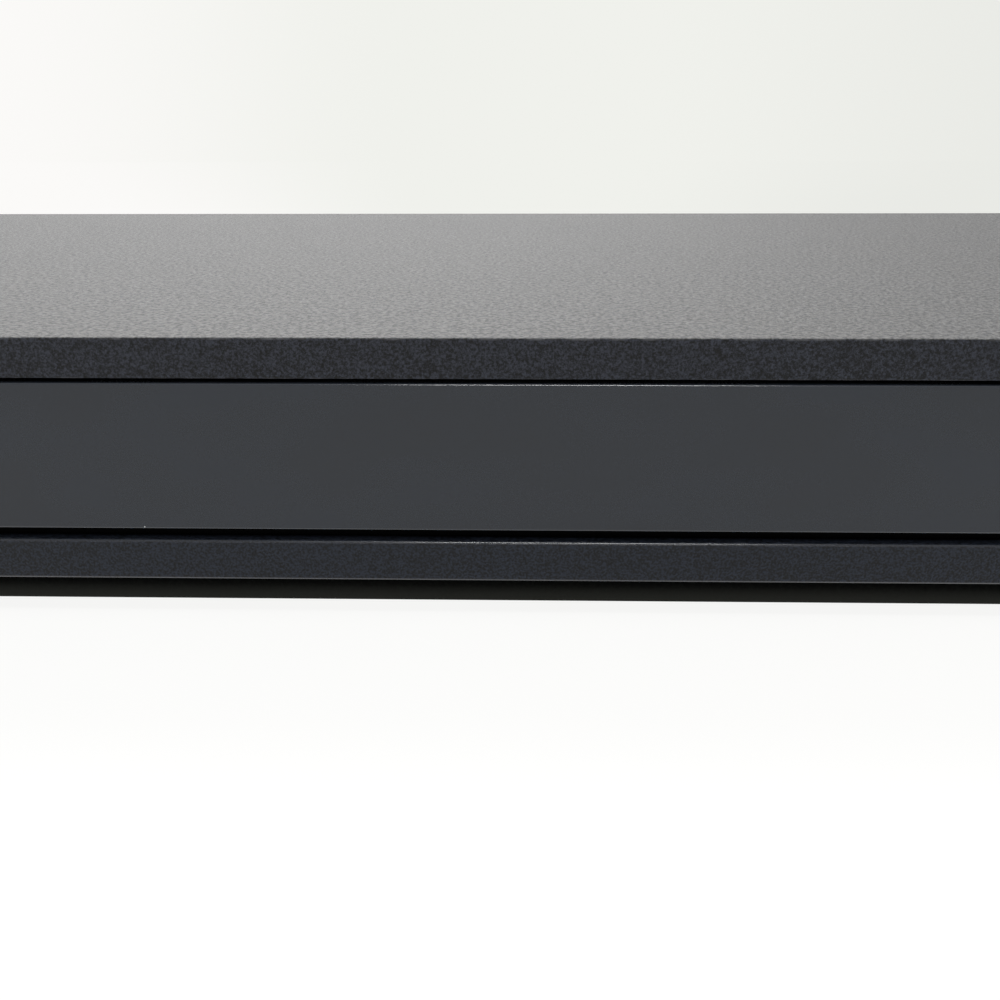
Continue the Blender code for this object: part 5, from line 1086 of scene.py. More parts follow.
@dataclass
class Controls:
    """The right fascia with its buttons, window, light and the small door over the front port."""

    edge: float = 0.0003
    clearance: float = 0.0003
    button_radius: float = 0.0055
    button_dish: float = 0.0004
    power_x: float = 0.197005
    eject_x: float = 0.176017
    window_x: float = 0.155029
    window_radius: float = 0.004
    light_x: float = 0.186511
    light_radius: float = 0.0008
    port_x: float = 0.134041
    door_half_width: float = 0.009
    door_half_height: float = 0.006
    door_thickness: float = 0.0024
    pin_radius: float = 0.0005
    pin_reach: float = 0.0008

    def make(self) -> None:
        """Make every piece of the right end of the front."""
        self.make_fascia()
        self.make_button("power_key_cap", self.power_x, "power_key", "power_button")
        self.make_button("eject_key_cap", self.eject_x, "eject_key", "eject_button")
        self.make_marks()
        self.make_window()
        self.make_light()
        self.make_door()

    def make_fascia(self) -> None:
        """The fascia with a fine chamfer round every opening."""
        middle = PLAN.panel_middle
        low = (PLAN.fascia_inner, PLAN.front, PLAN.panel_bottom)
        fascia = Blank.box("right_fascia", low, (PLAN.inner, PLAN.panel_back, PLAN.panel_top)).round(self.edge, 5)
        holes = []
        spots = [
            (self.power_x, self.button_radius),
            (self.eject_x, self.button_radius),
            (self.window_x, self.window_radius),
            (self.light_x, self.light_radius),
        ]
        for index, (x, radius) in enumerate(spots):
            wide = radius + self.clearance
            profile = [(0, 0), (wide + 0.0002, 0), (wide + 0.0002, OVERRUN), (wide, OVERRUN + 0.0002)]
            profile += [(wide, 3 * OVERRUN), (0, 3 * OVERRUN)]
            spot = (x, PLAN.front - OVERRUN, middle)
            holes.append(Blank.lathe(f"fascia_hole_{index}", spot, profile, "Y", 56))
        wide = self.door_half_width + self.clearance
        tall = self.door_half_height + self.clearance
        outline = rounded(self.port_x - wide, self.port_x + wide, middle - tall, middle + tall, 0.0004, 4)
        holes.append(Blank.prism("fascia_door_hole", outline, PLAN.front - OVERRUN, PLAN.panel_back + OVERRUN, "Y"))
        fascia.cut(*holes)
        reach = tall + self.pin_reach
        spot = (*self.hinge(), middle - reach)
        bore = self.pin_radius + self.clearance
        pin = Blank.lathe("fascia_pin_hole", spot, [(0, 0), (bore, 0), (bore, 2 * reach), (0, 2 * reach)], "Z", 16)
        fascia.cut(pin)
        fascia.set_on("case", Look.PANEL, "fascia_right", wear=True)

    def hinge(self) -> tuple[float, float]:
        """The door's upright axis."""
        half = self.door_thickness / 2
        return self.port_x - self.door_half_width + half, PLAN.front + half

    def make_button(self, name: str, x: float, body: str, node: str) -> None:
        """A round key with a dished face, a rounded rim, a flange and a stem.

        Args:
            name: the piece's name.
            x: its place across.
            body: the body that carries it.
            node: the solid that it stands for.
        """
        radius = self.button_radius
        low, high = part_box(node)
        flange = PLAN.panel_back + self.clearance - PLAN.front
        length = high[1] - low[1]
        dish = [
            (radius * 0.8 * share, self.button_dish * (1 - share * share)) for share in (0, 0.25, 0.5, 0.75, 1)
        ]
        rim = arc((radius - 0.0004, 0.0004), 0.0004, -QUARTER, 0, 5)
        flange_radius = (high[0] - low[0]) / 2
        profile = dish + rim + [(radius, flange), (flange_radius, flange), (flange_radius, flange + 0.001)]
        profile += [(0.002, flange + 0.001), (0.002, length - 0.0003), (0.0017, length), (0, length)]
        key = Blank.lathe(name, (x, PLAN.front, PLAN.panel_middle), profile, "Y", 64)
        key.set_on(body, Look.PANEL, node, smooth=50)

    def mark_ring(self, name: str, x: float) -> Blank:
        """The open ring of the power sign.

        Args:
            name: the sign's name.
            x: its place across.

        Returns:
            The ring.
        """
        outer, inner = 0.00215, 0.0018
        gap = math.radians(32)
        start, end = QUARTER + gap, QUARTER + math.tau - gap
        outline = arc((x, PLAN.panel_middle), outer, start, end, 40)
        outline += arc((x, PLAN.panel_middle), inner, end, start, 40)
        return Blank.prism(name, outline, PLAN.front + 0.00006, PLAN.front + 0.0007, "Y")

    def make_marks(self) -> None:
        """The generic power and eject signs on the keys."""
        middle = PLAN.panel_middle
        near, far = PLAN.front + 0.00006, PLAN.front + 0.0007
        ring = self.mark_ring("power_sign_ring", self.power_x)
        ring.set_on("power_key", Look.MARK)
        bar = stadium((self.power_x, middle + 0.0006), (self.power_x, middle + 0.0023), 0.00018, 5)
        Blank.prism("power_sign_bar", bar, near, far, "Y").set_on("power_key", Look.MARK)
        x = self.eject_x
        triangle = [(x - 0.0018, middle - 0.0002), (x + 0.0018, middle - 0.0002), (x, middle + 0.0019)]
        Blank.prism("eject_sign_arrow", triangle, near, far, "Y").set_on("eject_key", Look.MARK)
        strip = [(x - 0.0018, middle - 0.0012), (x + 0.0018, middle - 0.0012)]
        strip += [(x + 0.0018, middle - 0.0007), (x - 0.0018, middle - 0.0007)]
        Blank.prism("eject_sign_bar", strip, near, far, "Y").set_on("eject_key", Look.MARK)

    def make_window(self) -> None:
        """The domed dark window over the remote sensor."""
        radius = self.window_radius
        dome = [(radius * share, 0.0005 * share * share) for share in (0, 0.2, 0.4, 0.6, 0.8, 0.93)]
        profile = dome + [(radius, 0.0008), (radius, 0.003), (0, 0.003)]
        window = Blank.lathe("remote_lens", (self.window_x, PLAN.front, PLAN.panel_middle), profile, "Y", 64)
        window.set_on("case", Look.WINDOW, "remote_window", smooth=50)

    def make_light(self) -> None:
        """The light pipe with its rounded tip and a collar against the board."""
        low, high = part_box("status_light_pipe")
        length = high[1] - low[1]
        radius = self.light_radius
        tip = [(radius * math.sin(a), radius * 0.5 * (1 - math.cos(a))) for a in (0, 0.3, 0.6, 0.9, 1.2, QUARTER)]
        profile = tip + [(radius, length - 0.0015), (radius * 0.85, length), (0, length)]
        pipe = Blank.lathe("light_pipe", (self.light_x, PLAN.front, PLAN.panel_middle), profile, "Y", 32)
        pipe.set_on("case", Look.PIPE, "status_light_pipe", smooth=50)

    def make_door(self) -> None:
        """The port's door: a round hinge edge, two pins, a finger nick and a cored back."""
        x, y = self.hinge()
        half = self.door_thickness / 2
        right = self.port_x + self.door_half_width
        outline = arc((x, y), half, QUARTER, 3 * QUARTER, 12)
        outline += [(right - 0.0003, PLAN.front), (right, PLAN.front + 0.0003), (right, PLAN.front + 2 * half)]
        low = PLAN.panel_middle - self.door_half_height
        high = PLAN.panel_middle + self.door_half_height
        door = Blank.prism("port_door", outline, low, high).round(0.0002, 3, 40)
        nick_spot = (right + 0.0012, PLAN.front - 0.0006, low + self.door_half_height)
        nick_profile = [(0, -0.003), (0.002, -0.003), (0.002, 0.003), (0, 0.003)]
        nick = Blank.lathe("door_nick", nick_spot, nick_profile, "Z", 32)
        pocket_outline = rounded(x + 0.0026, right - 0.0016, low + 0.0012, high - 0.0012, 0.0005, 3)
        pocket = Blank.prism("door_pocket", pocket_outline, PLAN.front + 0.0014, PLAN.front + 2 * half + OVERRUN, "Y")
        door.cut(pocket)
        door.cut(nick)
        base = low - self.pin_reach
        length = high - low + 2 * self.pin_reach
        radius = self.pin_radius
        pin = Blank.lathe("door_pin", (x, y, base), [(0, 0), (radius, 0), (radius, length), (0, length)], "Z", 20)
        door.join(pin)
        door.set_on("front_door", Look.PANEL, "usb_door", wear=True)


@dataclass
class RearPanel:
    """The rear sheet: socket holes, round-ended vents, screw dimples, and the sockets themselves."""

    clearance: float = 0.0003
    edge: float = 0.00018
    bead: float = 0.0005
    vent_width: float = 0.003
    vent_height: float = 0.016
    vent_pitch: float = 0.007
    vent_first: float = -0.120
    vent_count: int = 14
    vent_low: float = 0.025
    screw_spots: tuple[tuple[float, float], ...] = ((-0.196, 0.044), (-0.004, 0.044), (0.196, 0.044))
    dimple_radius: float = 0.0052
    dimple_depth: float = 0.0017

    def make(self) -> None:
        """Make the panel, its screws and every socket."""
        self.make_panel()
        self.make_screws()
        for number in (1, 2):
            self.make_video_socket(number)
        self.make_network_socket()
        self.make_optical_socket()
        self.make_inlet()

    def hole(self, node: str, grow: float, radius: float) -> Blank:
        """A cutter a little wider than a socket, with rounded corners.

        Args:
            node: the socket's solid.
            grow: how much wider it is all round.
            radius: its corners' radius.

        Returns:
            The cutter.
        """
        low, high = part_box(node)
        outline = rounded(low[0] - grow, high[0] + grow, low[2] - grow, high[2] + grow, radius, 4)
        return Blank.prism(f"{node}_hole", outline, PLAN.back - 2 * PLAN.sheet, PLAN.back + OVERRUN, "Y")

    def make_panel(self) -> None:
        """The sheet with its holes, beads and dimples."""
        low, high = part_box("rear_panel")
        panel = Blank.box("rear_sheet", low, high)
        cutters = [self.hole(node, self.clearance, 0.0004) for node in ("hdmi_socket_1", "hdmi_socket_2", "lan_socket")]
        cutters += [self.hole(node, self.clearance, 0.0004) for node in ("optical_socket", "mains_inlet")]
        start, end = low[1] - OVERRUN, high[1] + OVERRUN
        radius = self.vent_width / 2
        for index in range(self.vent_count):
            x = self.vent_first + index * self.vent_pitch
            bottom, top = (x, self.vent_low + radius), (x, self.vent_low + self.vent_height - radius)
            cutters.append(Blank.prism(f"vent_{index}", stadium(bottom, top, radius, 8), start, end, "Y"))
        for index, (x, z) in enumerate(self.screw_spots):
            wide = self.dimple_radius
            profile = [(0, 0), (wide, 0), (wide, end - start), (0, end - start)]
            cutters.append(Blank.lathe(f"dimple_hole_{index}", (x, start, z), profile, "Y", 40))
        panel.cut(*cutters)
        panel.round(self.edge, 2, 50)
        bead = self.bead
        recess = []
        for left, right, foot, head in ((0.0935, 0.1885, 0.0105, 0.0295), (-0.1975, -0.1665, 0.0105, 0.0295)):
            outer = rounded(left, right, foot, head, 0.002, 5)
            inner = rounded(left + 0.0009, right - 0.0009, foot + 0.0009, head - 0.0009, 0.0012, 5)
            ring = Blank.prism("socket_bead", outer, high[1] - bead, high[1] + OVERRUN, "Y")
            ring.cut(Blank.prism("bead_core", inner, high[1] - 2 * bead, high[1] + 2 * OVERRUN, "Y"))
            recess.append(ring)
        panel.cut(*recess)
        panel.set_on("case", Look.COVER, "rear_panel", wear=True)

    def make_screws(self) -> None:
        """A dished washer and a pan head in every dimple."""
        for index, (x, z) in enumerate(self.screw_spots):
            wide, deep, sheet = self.dimple_radius, self.dimple_depth, PLAN.sheet
            profile = [
                (0, -deep - sheet),
                (wide - 0.0017, -deep - sheet),
                (wide - 0.0002, -sheet - 0.0004),
                (wide, -sheet),
                (wide, -0.0001),
                (wide - 0.0004, -0.0004),
                (wide - 0.0016, -deep),
                (0, -deep),
            ]
            cup = Blank.lathe(f"screw_dimple_{index}", (x, PLAN.back, z), profile, "Y", 48)
            cup.set_on("case", Look.COVER, smooth=60)
            Screw(f"rear_screw_{index}", (x, PLAN.back - deep, z), "Y", 1.0, 0.0029, 0.0013).make()

    def make_video_socket(self, number: int) -> None:
        """A wide plated shell with chamfered lower corners, its tongue and contacts.

        Args:
            number: the socket's number, which its solid's name ends with.
        """
        node = f"hdmi_socket_{number}"
        low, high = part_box(node)
        shell_outline = self.tapered(low[0], high[0], low[2], high[2], 0.0016)
        wall = 0.0005
        core = self.tapered(low[0] + wall, high[0] - wall, low[2] + wall, high[2] - wall, 0.0014)
        shell = Blank.prism(f"video_shell_{number}", shell_outline, low[1], high[1], "Y")
        shell.cut(Blank.prism("video_core", core, low[1] + wall, high[1] + OVERRUN, "Y"))
        shell.round(0.00012, 2, 50)
        shell.set_on("case", Look.PLATED, node, wear=True)
        middle_x, middle_z = (low[0] + high[0]) / 2, (low[2] + high[2]) / 2
        base = Blank.prism(
            f"video_insert_{number}",
            self.tapered(low[0] + wall, high[0] - wall, low[2] + wall, high[2] - wall, 0.0014),
            low[1] + wall,
            low[1] + 0.003,
            "Y",
        )
        tongue = rounded(middle_x - 0.0055, middle_x + 0.0055, middle_z - 0.0002, middle_z + 0.001, 0.0002, 2)
        base.join(Blank.prism("video_tongue", tongue, low[1] + 0.001, high[1] - 0.0008, "Y"))
        base.set_on("case", Look.BLACK)
        contacts = []
        for side, level in ((0, middle_z - 0.0003), (1, middle_z + 0.001)):
            for index in range(10 - side):
                x = middle_x - 0.0045 + index * 0.001 + side * 0.0005
                spot = (x - 0.0002, low[1] + 0.002, level)
                end = (x + 0.0002, high[1] - 0.0012, level + 0.0001)
                contacts.append(Blank.box(f"video_contact_{side}_{index}", spot, end))
        gather(contacts).set_on("case", Look.CONTACT)

    def tapered(self, left: float, right: float, low: float, high: float, cut: float) -> Outline:
        """A flat hexagon whose lower corners are cut away."""
        rise = low + cut * 1.6
        return [(left, high), (left, rise), (left + cut, low), (right - cut, low), (right, rise), (right, high)]

    def make_network_socket(self) -> None:
        """A square plated shell with its stepped mouth and eight wires."""
        low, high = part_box("lan_socket")
        shell = Blank.box("network_shell", low, high)
        wall = 0.0005
        inner_low = (low[0] + wall, low[1] + wall, low[2] + wall)
        shell.cut(Blank.box("network_core", inner_low, (high[0] - wall, high[1] + OVERRUN, high[2] - wall)))
        shell.round(0.00015, 2, 50)
        shell.set_on("case", Look.PLATED, "lan_socket", wear=True)
        x = (low[0] + high[0]) / 2
        left, right = low[0] + wall, high[0] - wall
        foot, head = low[2] + wall, high[2] - wall
        insert = Blank.box("network_insert", (left, low[1] + wall, foot), (right, high[1] - 0.0004, head))
        mouth_low = foot + 0.0009
        mouth = [
            (x - 0.0059, mouth_low + 0.0034),
            (x - 0.0032, mouth_low + 0.0034),
            (x - 0.0032, mouth_low + 0.0014),
            (x - 0.0017, mouth_low + 0.0014),
            (x - 0.0017, mouth_low),
            (x + 0.0017, mouth_low),
            (x + 0.0017, mouth_low + 0.0014),
            (x + 0.0032, mouth_low + 0.0014),
            (x + 0.0032, mouth_low + 0.0034),
            (x + 0.0059, mouth_low + 0.0034),
            (x + 0.0059, head - 0.0009),
            (x - 0.0059, head - 0.0009),
        ]
        insert.cut(Blank.prism("network_mouth", mouth, low[1] + 0.003, high[1] + OVERRUN, "Y"))
        insert.set_on("case", Look.BLACK)
        wires = []
        for index in range(8):
            wx = x - 0.0036 + index * 0.00102
            points = [
                (wx, high[1] - 0.002, head - 0.0011),
                (wx, high[1] - 0.0045, head - 0.0013),
                (wx, high[1] - 0.0085, head - 0.0033),
                (wx, high[1] - 0.0122, head - 0.0048),
            ]
            wires.append(Blank.tube(f"network_wire_{index}", points, 0.00022, 6))
        gather(wires).set_on("case", Look.CONTACT)

    def make_optical_socket(self) -> None:
        """A square black socket with its stepped frame and sprung shutter."""
        low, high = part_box("optical_socket")
        body = Blank.box("optical_body", low, high)
        wall = 0.0008
        mouth = rounded(low[0] + wall, high[0] - wall, low[2] + wall, high[2] - wall, 0.0008, 4)
        body.cut(Blank.prism("optical_mouth", mouth, low[1] + wall, high[1] + OVERRUN, "Y"))
        body.round(0.0002, 2, 50)
        body.set_on("case", Look.BLACK, "optical_socket", wear=True)
        rim = low[1] + 0.0022
        shutter = Blank.prism(
            "optical_shutter",
            rounded(low[0] + 0.0011, high[0] - 0.0011, low[2] + 0.0011, high[2] - 0.0011, 0.0006, 4),
            low[1] + wall,
            rim,
            "Y",
        ).round(0.0002, 2, 40)
        shutter.set_on("case", Look.INNER)
        middle = ((low[0] + high[0]) / 2, rim - 0.0003, (low[2] + high[2]) / 2)
        lens = Blank.lathe("optical_lens", middle, [(0, 0), (0.0011, 0), (0.001, 0.0006), (0, 0.0008)], "Y", 24)
        lens.set_on("case", Look.WINDOW)

    def make_inlet(self) -> None:
        """The two-pole mains inlet: a rounded body, its figure-of-eight mouth and two round pins."""
        low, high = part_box("mains_inlet")
        body = Blank.prism(
            "inlet_body", rounded(low[0], high[0], low[2], high[2], 0.0012, 5), low[1], high[1], "Y"
        )
        x, z = (low[0] + high[0]) / 2, (low[2] + high[2]) / 2
        spread = 0.0043
        radius = 0.0046
        floor = high[1] - 0.012
        outline = rounded(x - spread, x + spread, z - 0.0036, z + 0.0036, 0.0005, 3)
        waist = Blank.prism("inlet_waist", outline, floor, high[1] + OVERRUN, "Y")
        cutters = []
        for side in (-1, 1):
            profile = [(0, 0), (radius, 0), (radius, 0.012 - 0.0005), (radius + 0.0005, 0.012)]
            profile += [(radius + 0.0005, 0.014), (0, 0.014)]
            cutters.append(Blank.lathe(f"inlet_bore_{side}", (x + side * spread, floor, z), profile, "Y", 48))
        body.cut(waist)
        body.cut(cutters[0])
        body.cut(cutters[1])
        body.round(0.00025, 3, 60)
        body.set_on("case", Look.BLACK, "mains_inlet", wear=True)
        for side in (-1, 1):
            profile = [(0, 0), (0.0012, 0), (0.0012, 0.0092), (0.0009, 0.0099), (0.0004, 0.0102), (0, 0.0103)]
            pin = Blank.lathe(f"inlet_contact_{side + 1}", (x + side * spread, floor - 0.0003, z), profile, "Y", 32)
            pin.set_on("case", Look.PLATED, smooth=50)


@dataclass
class Underside:
    """The base: its folded front strip, vents, screws, ribs, feet and pads."""

    bend: float = 0.0009
    wall_front: float = -0.1305
    wall_height: float = 0.0049
    groove: float = 0.0004
    rib_half_length: float = 0.118
    rib_half_width: float = 0.0022
    rib_places: tuple[float, ...] = (-0.062, -0.020, 0.062)
    vent_width: float = 0.003
    vent_length: float = 0.030
    vent_pitch: float = 0.007
    vent_count: int = 9
    vent_middle: float = 0.154
    vent_y: float = 0.025
    screw_spots: tuple[tuple[float, float], ...] = (
        (-0.2, -0.118),
        (0.2, -0.118),
        (-0.2, 0.118),
        (0.2, 0.118),
        (-0.074, -0.108),
        (0.074, -0.108),
        (-0.074, 0.042),
        (0.074, 0.042),
    )

    def make(self) -> None:
        """Make the base sheet, its posts, screws and feet."""
        self.make_sheet()
        self.make_screws()
        self.make_feet()

    def make_sheet(self) -> None:
        """The base sheet with stamped ribs, round-ended vents and threaded posts."""
        inner, floor, sheet = PLAN.inner, PLAN.floor, PLAN.sheet
        _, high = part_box("base_chassis")
        base = Blank.box(
            "base_sheet", (-inner, self.wall_front, floor), (inner, high[1] + OVERRUN, high[2] + OVERRUN)
        )
        base.round(self.bend, 4)
        rim = high[2]
        hollow = Blank.box(
            "base_hollow",
            (sheet - inner, self.wall_front + sheet, PLAN.floor_top),
            (inner - sheet, high[1] + 2 * OVERRUN, rim + 2 * OVERRUN),
        )
        trim = Blank.box(
            "base_front_trim",
            (-inner - OVERRUN, self.wall_front - OVERRUN, floor + self.wall_height),
            (inner + OVERRUN, -0.1269, rim + 2 * OVERRUN),
        )
        crown = Blank.box("base_crown", (-inner - OVERRUN, -0.14, rim), (inner + OVERRUN, 0.14, rim + 2 * OVERRUN))
        tail = Blank.box(
            "base_tail", (-inner - OVERRUN, high[1], floor - OVERRUN), (inner + OVERRUN, 0.14, rim + OVERRUN)
        )
        base.cut(hollow)
        base.cut(trim)
        base.cut(crown)
        base.cut(tail)
        cutters = []
        radius = self.vent_width / 2
        reach = self.vent_length / 2 - radius
        for side in (-1, 1):
            for index in range(self.vent_count):
                x = side * self.vent_middle + (index - (self.vent_count - 1) / 2) * self.vent_pitch
                outline = stadium((x, self.vent_y - reach), (x, self.vent_y + reach), radius, 8)
                name = f"floor_vent_{side}_{index}"
                cutters.append(Blank.prism(name, outline, floor - OVERRUN, PLAN.floor_top + OVERRUN))
        for index, y in enumerate(self.rib_places):
            outline = stadium((-self.rib_half_length, y), (self.rib_half_length, y), self.rib_half_width, 8)
            cutters.append(Blank.prism(f"stamped_rib_{index}", outline, floor - OVERRUN, floor + self.groove))
        base.cut(*cutters)
        base.round(0.00015, 2, 55)
        base.set_on("case", Look.CHASSIS, "base_chassis", wear=True)
        posts = []
        loader = [(side * 0.07415, y, 0.0182, 0.0035) for side in (-1, 1) for y in (-0.1119, 0.0421)]
        boards = [(x, y, 0.0107, 0.003) for x in (0.094, 0.2) for y in (-0.036, 0.1065)]
        boards += [(x, y, 0.0107, 0.003) for x in (-0.198, -0.11) for y in (-0.01, 0.1065)]
        for index, (x, y, top, wide) in enumerate(loader + boards):
            height = top - PLAN.floor_top
            profile = [(0, 0), (wide + 0.0008, 0), (wide, 0.0008), (wide, height - 0.0002)]
            profile += [(wide - 0.0002, height), (0, height)]
            posts.append(Blank.lathe(f"post_{index}", (x, y, PLAN.floor_top - 0.00005), profile, "Z", 32))
        gather(posts).set_on("case", Look.PLATED, smooth=50)

    def make_screws(self) -> None:
        """Flush screws on the underside."""
        for index, (x, y) in enumerate(self.screw_spots):
            Screw(f"base_screw_{index}", (x, y, PLAN.floor - 0.00002), "Z", -1.0, 0.0027, 0.0009).make()

    def make_feet(self) -> None:
        """Four turned feet with a stepped rim, each with its ringed rubber pad."""
        for row in ("front", "rear"):
            for column in ("left", "right"):
                low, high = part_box(f"foot_{row}_{column}")
                radius = (high[0] - low[0]) / 2
                x, y = (low[0] + high[0]) / 2, (low[1] + high[1]) / 2
                height = high[2] - low[2]
                profile = [
                    (0, 0.0011),
                    (0.0138, 0.0011),
                    (0.0138, 0.0002),
                    (0.014, 0),
                    (radius - 0.0022, 0),
                    (radius - 0.0006, 0.0004),
                    (radius - 0.0002, 0.001),
                    (radius, height - 0.0006),
                    (radius - 0.0003, height),
                    (0, height),
                ]
                foot = Blank.lathe(f"{row}_{column}_foot", (x, y, low[2]), profile, "Z", 72)
                foot.set_on("case", Look.BLACK, f"foot_{row}_{column}", smooth=50)
                pad_low, pad_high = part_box(f"pad_{row}_{column}")
                wide = (pad_high[0] - pad_low[0]) / 2
                thick = pad_high[2] - pad_low[2]
                rings: Outline = [(0, 0.0003), (0.003, 0.0003), (0.0034, 0)]
                for step in range(3):
                    start = 0.0055 + step * 0.0027
                    rings += [(start, 0), (start + 0.0002, 0.00025), (start + 0.0008, 0.00025), (start + 0.001, 0)]
                rings += [(wide - 0.0004, 0), (wide, 0.0004), (wide, thick), (0, thick)]
                pad = Blank.lathe(f"{row}_{column}_pad", (x, y, pad_low[2]), rings, "Z", 72)
                pad.set_on("case", Look.RUBBER, f"pad_{row}_{column}", smooth=50)


@dataclass
class DiscTray:
    """The disc tray: its solid, dressed, and the nubs in its large well."""

    middle: tuple[float, float] = (0.0, -0.0575)
    large_well: float = 0.061
    small_well: float = 0.0412
    well_floor: float = 0.032

    def make(self) -> None:
        """Dress the tray and set four low nubs that keep a disc off its floor."""
        nubs = []
        reach = (self.large_well + self.small_well) / 2
        for index, degrees in enumerate((35, 145, 215, 325)):
            angle = math.radians(degrees)
            spot = (
                self.middle[0] + reach * math.cos(angle),
                self.middle[1] + reach * math.sin(angle),
                self.well_floor - 0.00005,
            )
            profile = [(0, 0), (0.0016, 0), (0.0013, 0.0003), (0.0007, 0.0005), (0, 0.00055)]
            nubs.append(Blank.lathe(f"disc_nub_{index}", spot, profile, "Z", 24))
        gather(nubs).set_on("tray", Look.INNER)
        dress_solid(Look.INNER, "disc_tray")


@dataclass
class Loader:
    """The loader: its frame, gear train, clamper, traverse, spindle and pickup."""

    screw_axis: tuple[float, float] = (0.036, 0.025)
    screw_radius: float = 0.0015
    thread_pitch: float = 0.003
    thread_start: float = -0.0466
    thread_end: float = 0.0118
    thread_wire: float = 0.0003
    thread_height: float = 0.0002
    steps_a_turn: int = 16

    def make(self) -> None:
        """Dress every solid of the loader and wind the lead screw's thread."""
        self.wind_thread()
        # The front frame behind the gaps wears a painted shade.
        dress_solid(Look.FRAME, "front_frame")
        dress_solid(Look.INNER, "loader_frame", "clamper_puck", "pickup_sled", "lift_cam")
        dress_solid(Look.GEAR, "tray_gear", "pulley_gear", "motor_pulley")
        dress_solid(Look.PLATED, "clamper_bridge", "traverse_frame", "loading_motor")
        dress_solid(Look.PLATED, "spindle_motor", "spindle_rotor")
        dress_solid(Look.PLATED, "sled_motor", "lead_screw", "guide_shaft_left", "guide_shaft_right")
        dress_solid(Look.RUBBER, "drive_belt")
        dress_solid(Look.BLACK, "turntable")
        dress_solid(Look.LENS, "objective_lens")

    def wind_thread(self) -> None:
        """The left-hand thread that moves the sled back as the screw turns forward."""
        radius = self.screw_radius + self.thread_height - self.thread_wire
        turns = (self.thread_end - self.thread_start) / self.thread_pitch
        spots = []
        for step in range(round(turns * self.steps_a_turn) + 1):
            angle = -math.tau * step / self.steps_a_turn
            along = self.thread_start + self.thread_pitch * step / self.steps_a_turn
            across = self.screw_axis[0] + radius * math.sin(angle)
            spots.append((across, along, self.screw_axis[1] + radius * math.cos(angle)))
        Blank.tube("lead_screw_thread", spots, self.thread_wire, 6).set_on("screw", Look.PLATED)


@dataclass
class Electronics:
    """The boards with their parts, the ribbon and the harness."""

    def make(self) -> None:
        """Dress every solid of the electronics."""
        dress_solid(Look.BOARD, "main_board", "power_board", "button_board")
        dress_solid(Look.BLACK, "processor", "power_switch", "eject_switch")
        dress_solid(Look.SINK, "heat_sink")
        dress_solid(Look.TAPE, "transformer")
        dress_solid(Look.SLEEVE, "filter_capacitor")
        dress_solid(Look.PLATED, "usb_socket")
        dress_solid(Look.RIBBON, "ribbon_cable")
        dress_solid(Look.WIRE, "power_harness")


@dataclass(frozen=True)
class View:
    """The photograph's viewing angle, fitted to the bands on the front."""

    spot: tuple[float, float, float] = (0.0104, -0.2919, 0.0859)
    pitch: float = math.radians(20.86)
    yaw: float = math.radians(-1.35)
    roll: float = math.radians(-0.16)
    lens: float = 34.67

    def make(self) -> None:
        """Set up the camera."""
        reach = math.cos(self.pitch)
        ahead = Vector((math.sin(self.yaw) * reach, math.cos(self.yaw) * reach, -math.sin(self.pitch)))
        level = Vector((math.cos(self.yaw), -math.sin(self.yaw), 0))
        upright = level.cross(ahead)
        right = math.cos(self.roll) * level + math.sin(self.roll) * upright
        up = math.cos(self.roll) * upright - math.sin(self.roll) * level
        turn = Matrix((right, up, -ahead)).transposed().to_4x4()
        data = bpy.data.cameras.new("photo_view")
        data.lens = self.lens
        data.sensor_width = 36
        data.clip_start = 0.005
        camera = bpy.data.objects.new("photo_view", data)
        camera.matrix_world = Matrix.Translation(Vector(self.spot)) @ turn
        bpy.context.scene.collection.objects.link(camera)
        bpy.context.scene.camera = camera


@dataclass(frozen=True)
class SoftLamp:
    """One soft white rectangular lamp, aimed at the middle of the floor."""

    name: str
    spot: tuple[float, float, float]
    size: tuple[float, float]
    power: float

    def make(self) -> None:
        """Hang the lamp, out of the camera's sight."""
        data = bpy.data.lights.new(self.name, "AREA")
        data.shape = "RECTANGLE"
        data.size, data.size_y = self.size
        data.energy = self.power
        lamp = bpy.data.objects.new(self.name, data)
        spot = Vector(self.spot)
        lamp.matrix_world = Matrix.Translation(spot) @ (-spot).to_track_quat("-Z", "Y").to_matrix().to_4x4()
        lamp.visible_camera = False
        bpy.context.scene.collection.objects.link(lamp)


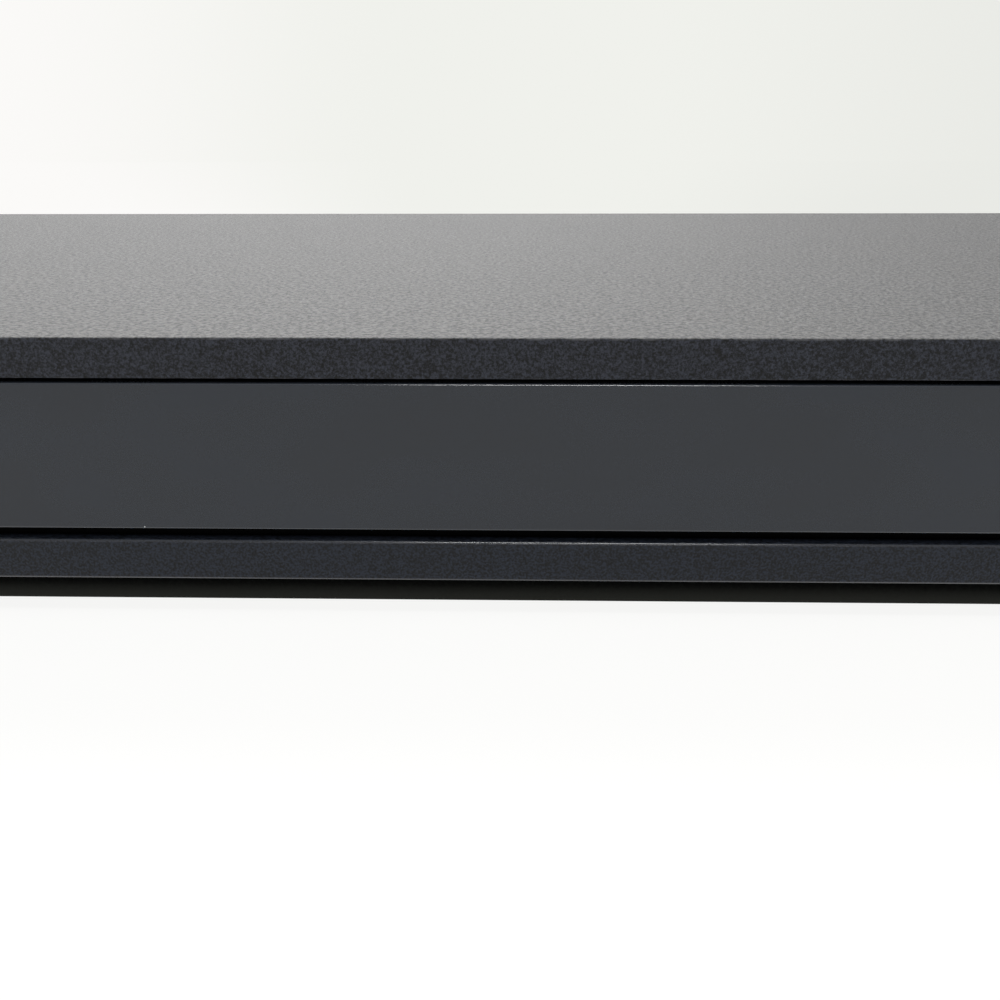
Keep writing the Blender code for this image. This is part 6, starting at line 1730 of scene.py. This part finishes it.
@dataclass
class Studio:
    """A plain pale floor and backdrop, an even surround and three soft lamps."""

    backdrop: Colour = (0.871, 0.879, 0.839)
    left_backdrop: Colour = (0.965, 0.955, 0.94)
    right_backdrop: Colour = (0.815, 0.823, 0.787)
    floor: Colour = (1.0, 1.0, 0.99)
    surround: float = 0.55
    own_light: float = 0.9
    lamps: list[SoftLamp] = field(
        default_factory=lambda: [
            SoftLamp("key_lamp", (0.10, -1.15, 1.25), (0.62, 0.1), 9),
            SoftLamp("side_lamp", (-1.35, -0.75, 1.0), (0.5, 0.5), 5),
            SoftLamp("back_lamp", (-0.65, 2.3, 2.4), (3.0, 1.7), 155),
        ]
    )

    def make(self) -> None:
        """Set the view settings, the world, the floor, the backdrop and the lamps."""
        bpy.context.scene.view_settings.view_transform = "Standard"
        self.make_world()
        self.make_floor()
        for lamp in self.lamps:
            lamp.make()
        View().make()

    def seen(self, desk: ShaderDesk) -> Signal:
        """One for camera, glossy and transmission rays, else nought.

        Args:
            desk: the tree.

        Returns:
            The share.
        """
        path = desk.node("ShaderNodeLightPath")
        seen = desk.sum("MAXIMUM", desk.out(path, "Is Camera Ray"), desk.out(path, "Is Glossy Ray"))
        return desk.sum("MAXIMUM", seen, desk.out(path, "Is Transmission Ray"))

    def backdrop_tone(self, desk: ShaderDesk, way: Signal) -> Signal:
        """The backdrop's tone, a little lighter to the left and deeper to the right.

        Args:
            desk: the tree.
            way: a unit vector from the middle.

        Returns:
            The colour.
        """
        across = desk.out(desk.node("ShaderNodeSeparateXYZ", {}, {0: way}), "X")
        tone = desk.blend(desk.span(across, -0.5, -0.1), self.left_backdrop, self.backdrop)
        return desk.blend(desk.span(across, 0.1, 0.5), tone, self.right_backdrop)

    def make_world(self) -> None:
        """An even white surround, seen as the pale backdrop."""
        world = bpy.data.worlds.new("studio")
        world.use_nodes = True
        bpy.context.scene.world = world
        desk = ShaderDesk(world.node_tree)
        plain = (self.surround, self.surround, self.surround)
        way = desk.out(desk.node("ShaderNodeTexCoord"), "Generated")
        looked_at = desk.out(desk.node("ShaderNodeLightPath"), "Is Camera Ray")
        tone = desk.blend(looked_at, plain, self.backdrop_tone(desk, way))
        back = desk.node("ShaderNodeBackground", {}, {"Color": tone, "Strength": 1.0})
        desk.node("ShaderNodeOutputWorld", {}, {"Surface": desk.out(back)})

    def make_floor(self) -> None:
        """A large floor, white round the player and fading out, which keeps the player's shadow."""
        shape = bmesh.new()
        bmesh.ops.create_grid(shape, x_segments=8, y_segments=8, size=3)
        mesh = bpy.data.meshes.new("studio_floor")
        shape.to_mesh(mesh)
        shape.free()
        floor = bpy.data.objects.new("studio_floor", mesh)
        bpy.context.scene.collection.objects.link(floor)
        material = bpy.data.materials.new("floor_paper")
        material.use_nodes = True
        desk = ShaderDesk(material.node_tree)
        places = desk.out(desk.node("ShaderNodeTexCoord"), "Object")
        reach = desk.out(desk.node("ShaderNodeVectorMath", {"operation": "LENGTH"}, {0: places}), "Value")
        way = desk.out(desk.node("ShaderNodeVectorMath", {"operation": "NORMALIZE"}, {0: places}))
        away = desk.span(reach, 0.22, 0.75)
        paper = desk.blend(away, self.floor, self.backdrop_tone(desk, way))
        matt = desk.node("ShaderNodeBsdfDiffuse", {}, {"Color": paper})
        glow = desk.node("ShaderNodeEmission", {}, {"Color": paper, "Strength": 1.0})
        share = self.seen(desk) * (self.own_light + (1 - self.own_light) * away)
        mixed = desk.node("ShaderNodeMixShader", {}, {0: share, 1: desk.out(matt), 2: desk.out(glow)})
        under = desk.out(desk.node("ShaderNodeNewGeometry"), "Backfacing")
        clear = desk.node("ShaderNodeBsdfTransparent")
        shown = desk.node("ShaderNodeMixShader", {}, {0: under, 1: desk.out(mixed), 2: desk.out(clear)})
        desk.node("ShaderNodeOutputMaterial", {}, {"Surface": desk.out(shown)})
        mesh.materials.append(material)


def main() -> None:
    """Dress every sub-assembly and set up the studio."""
    logging.basicConfig(level=logging.INFO, format="%(name)s: %(message)s")
    Studio().make()
    TopCover().make()
    FrontBars().make()
    Controls().make()
    RearPanel().make()
    Underside().make()
    DiscTray().make()
    Loader().make()
    Electronics().make()


if __name__ == "__main__":
    main()
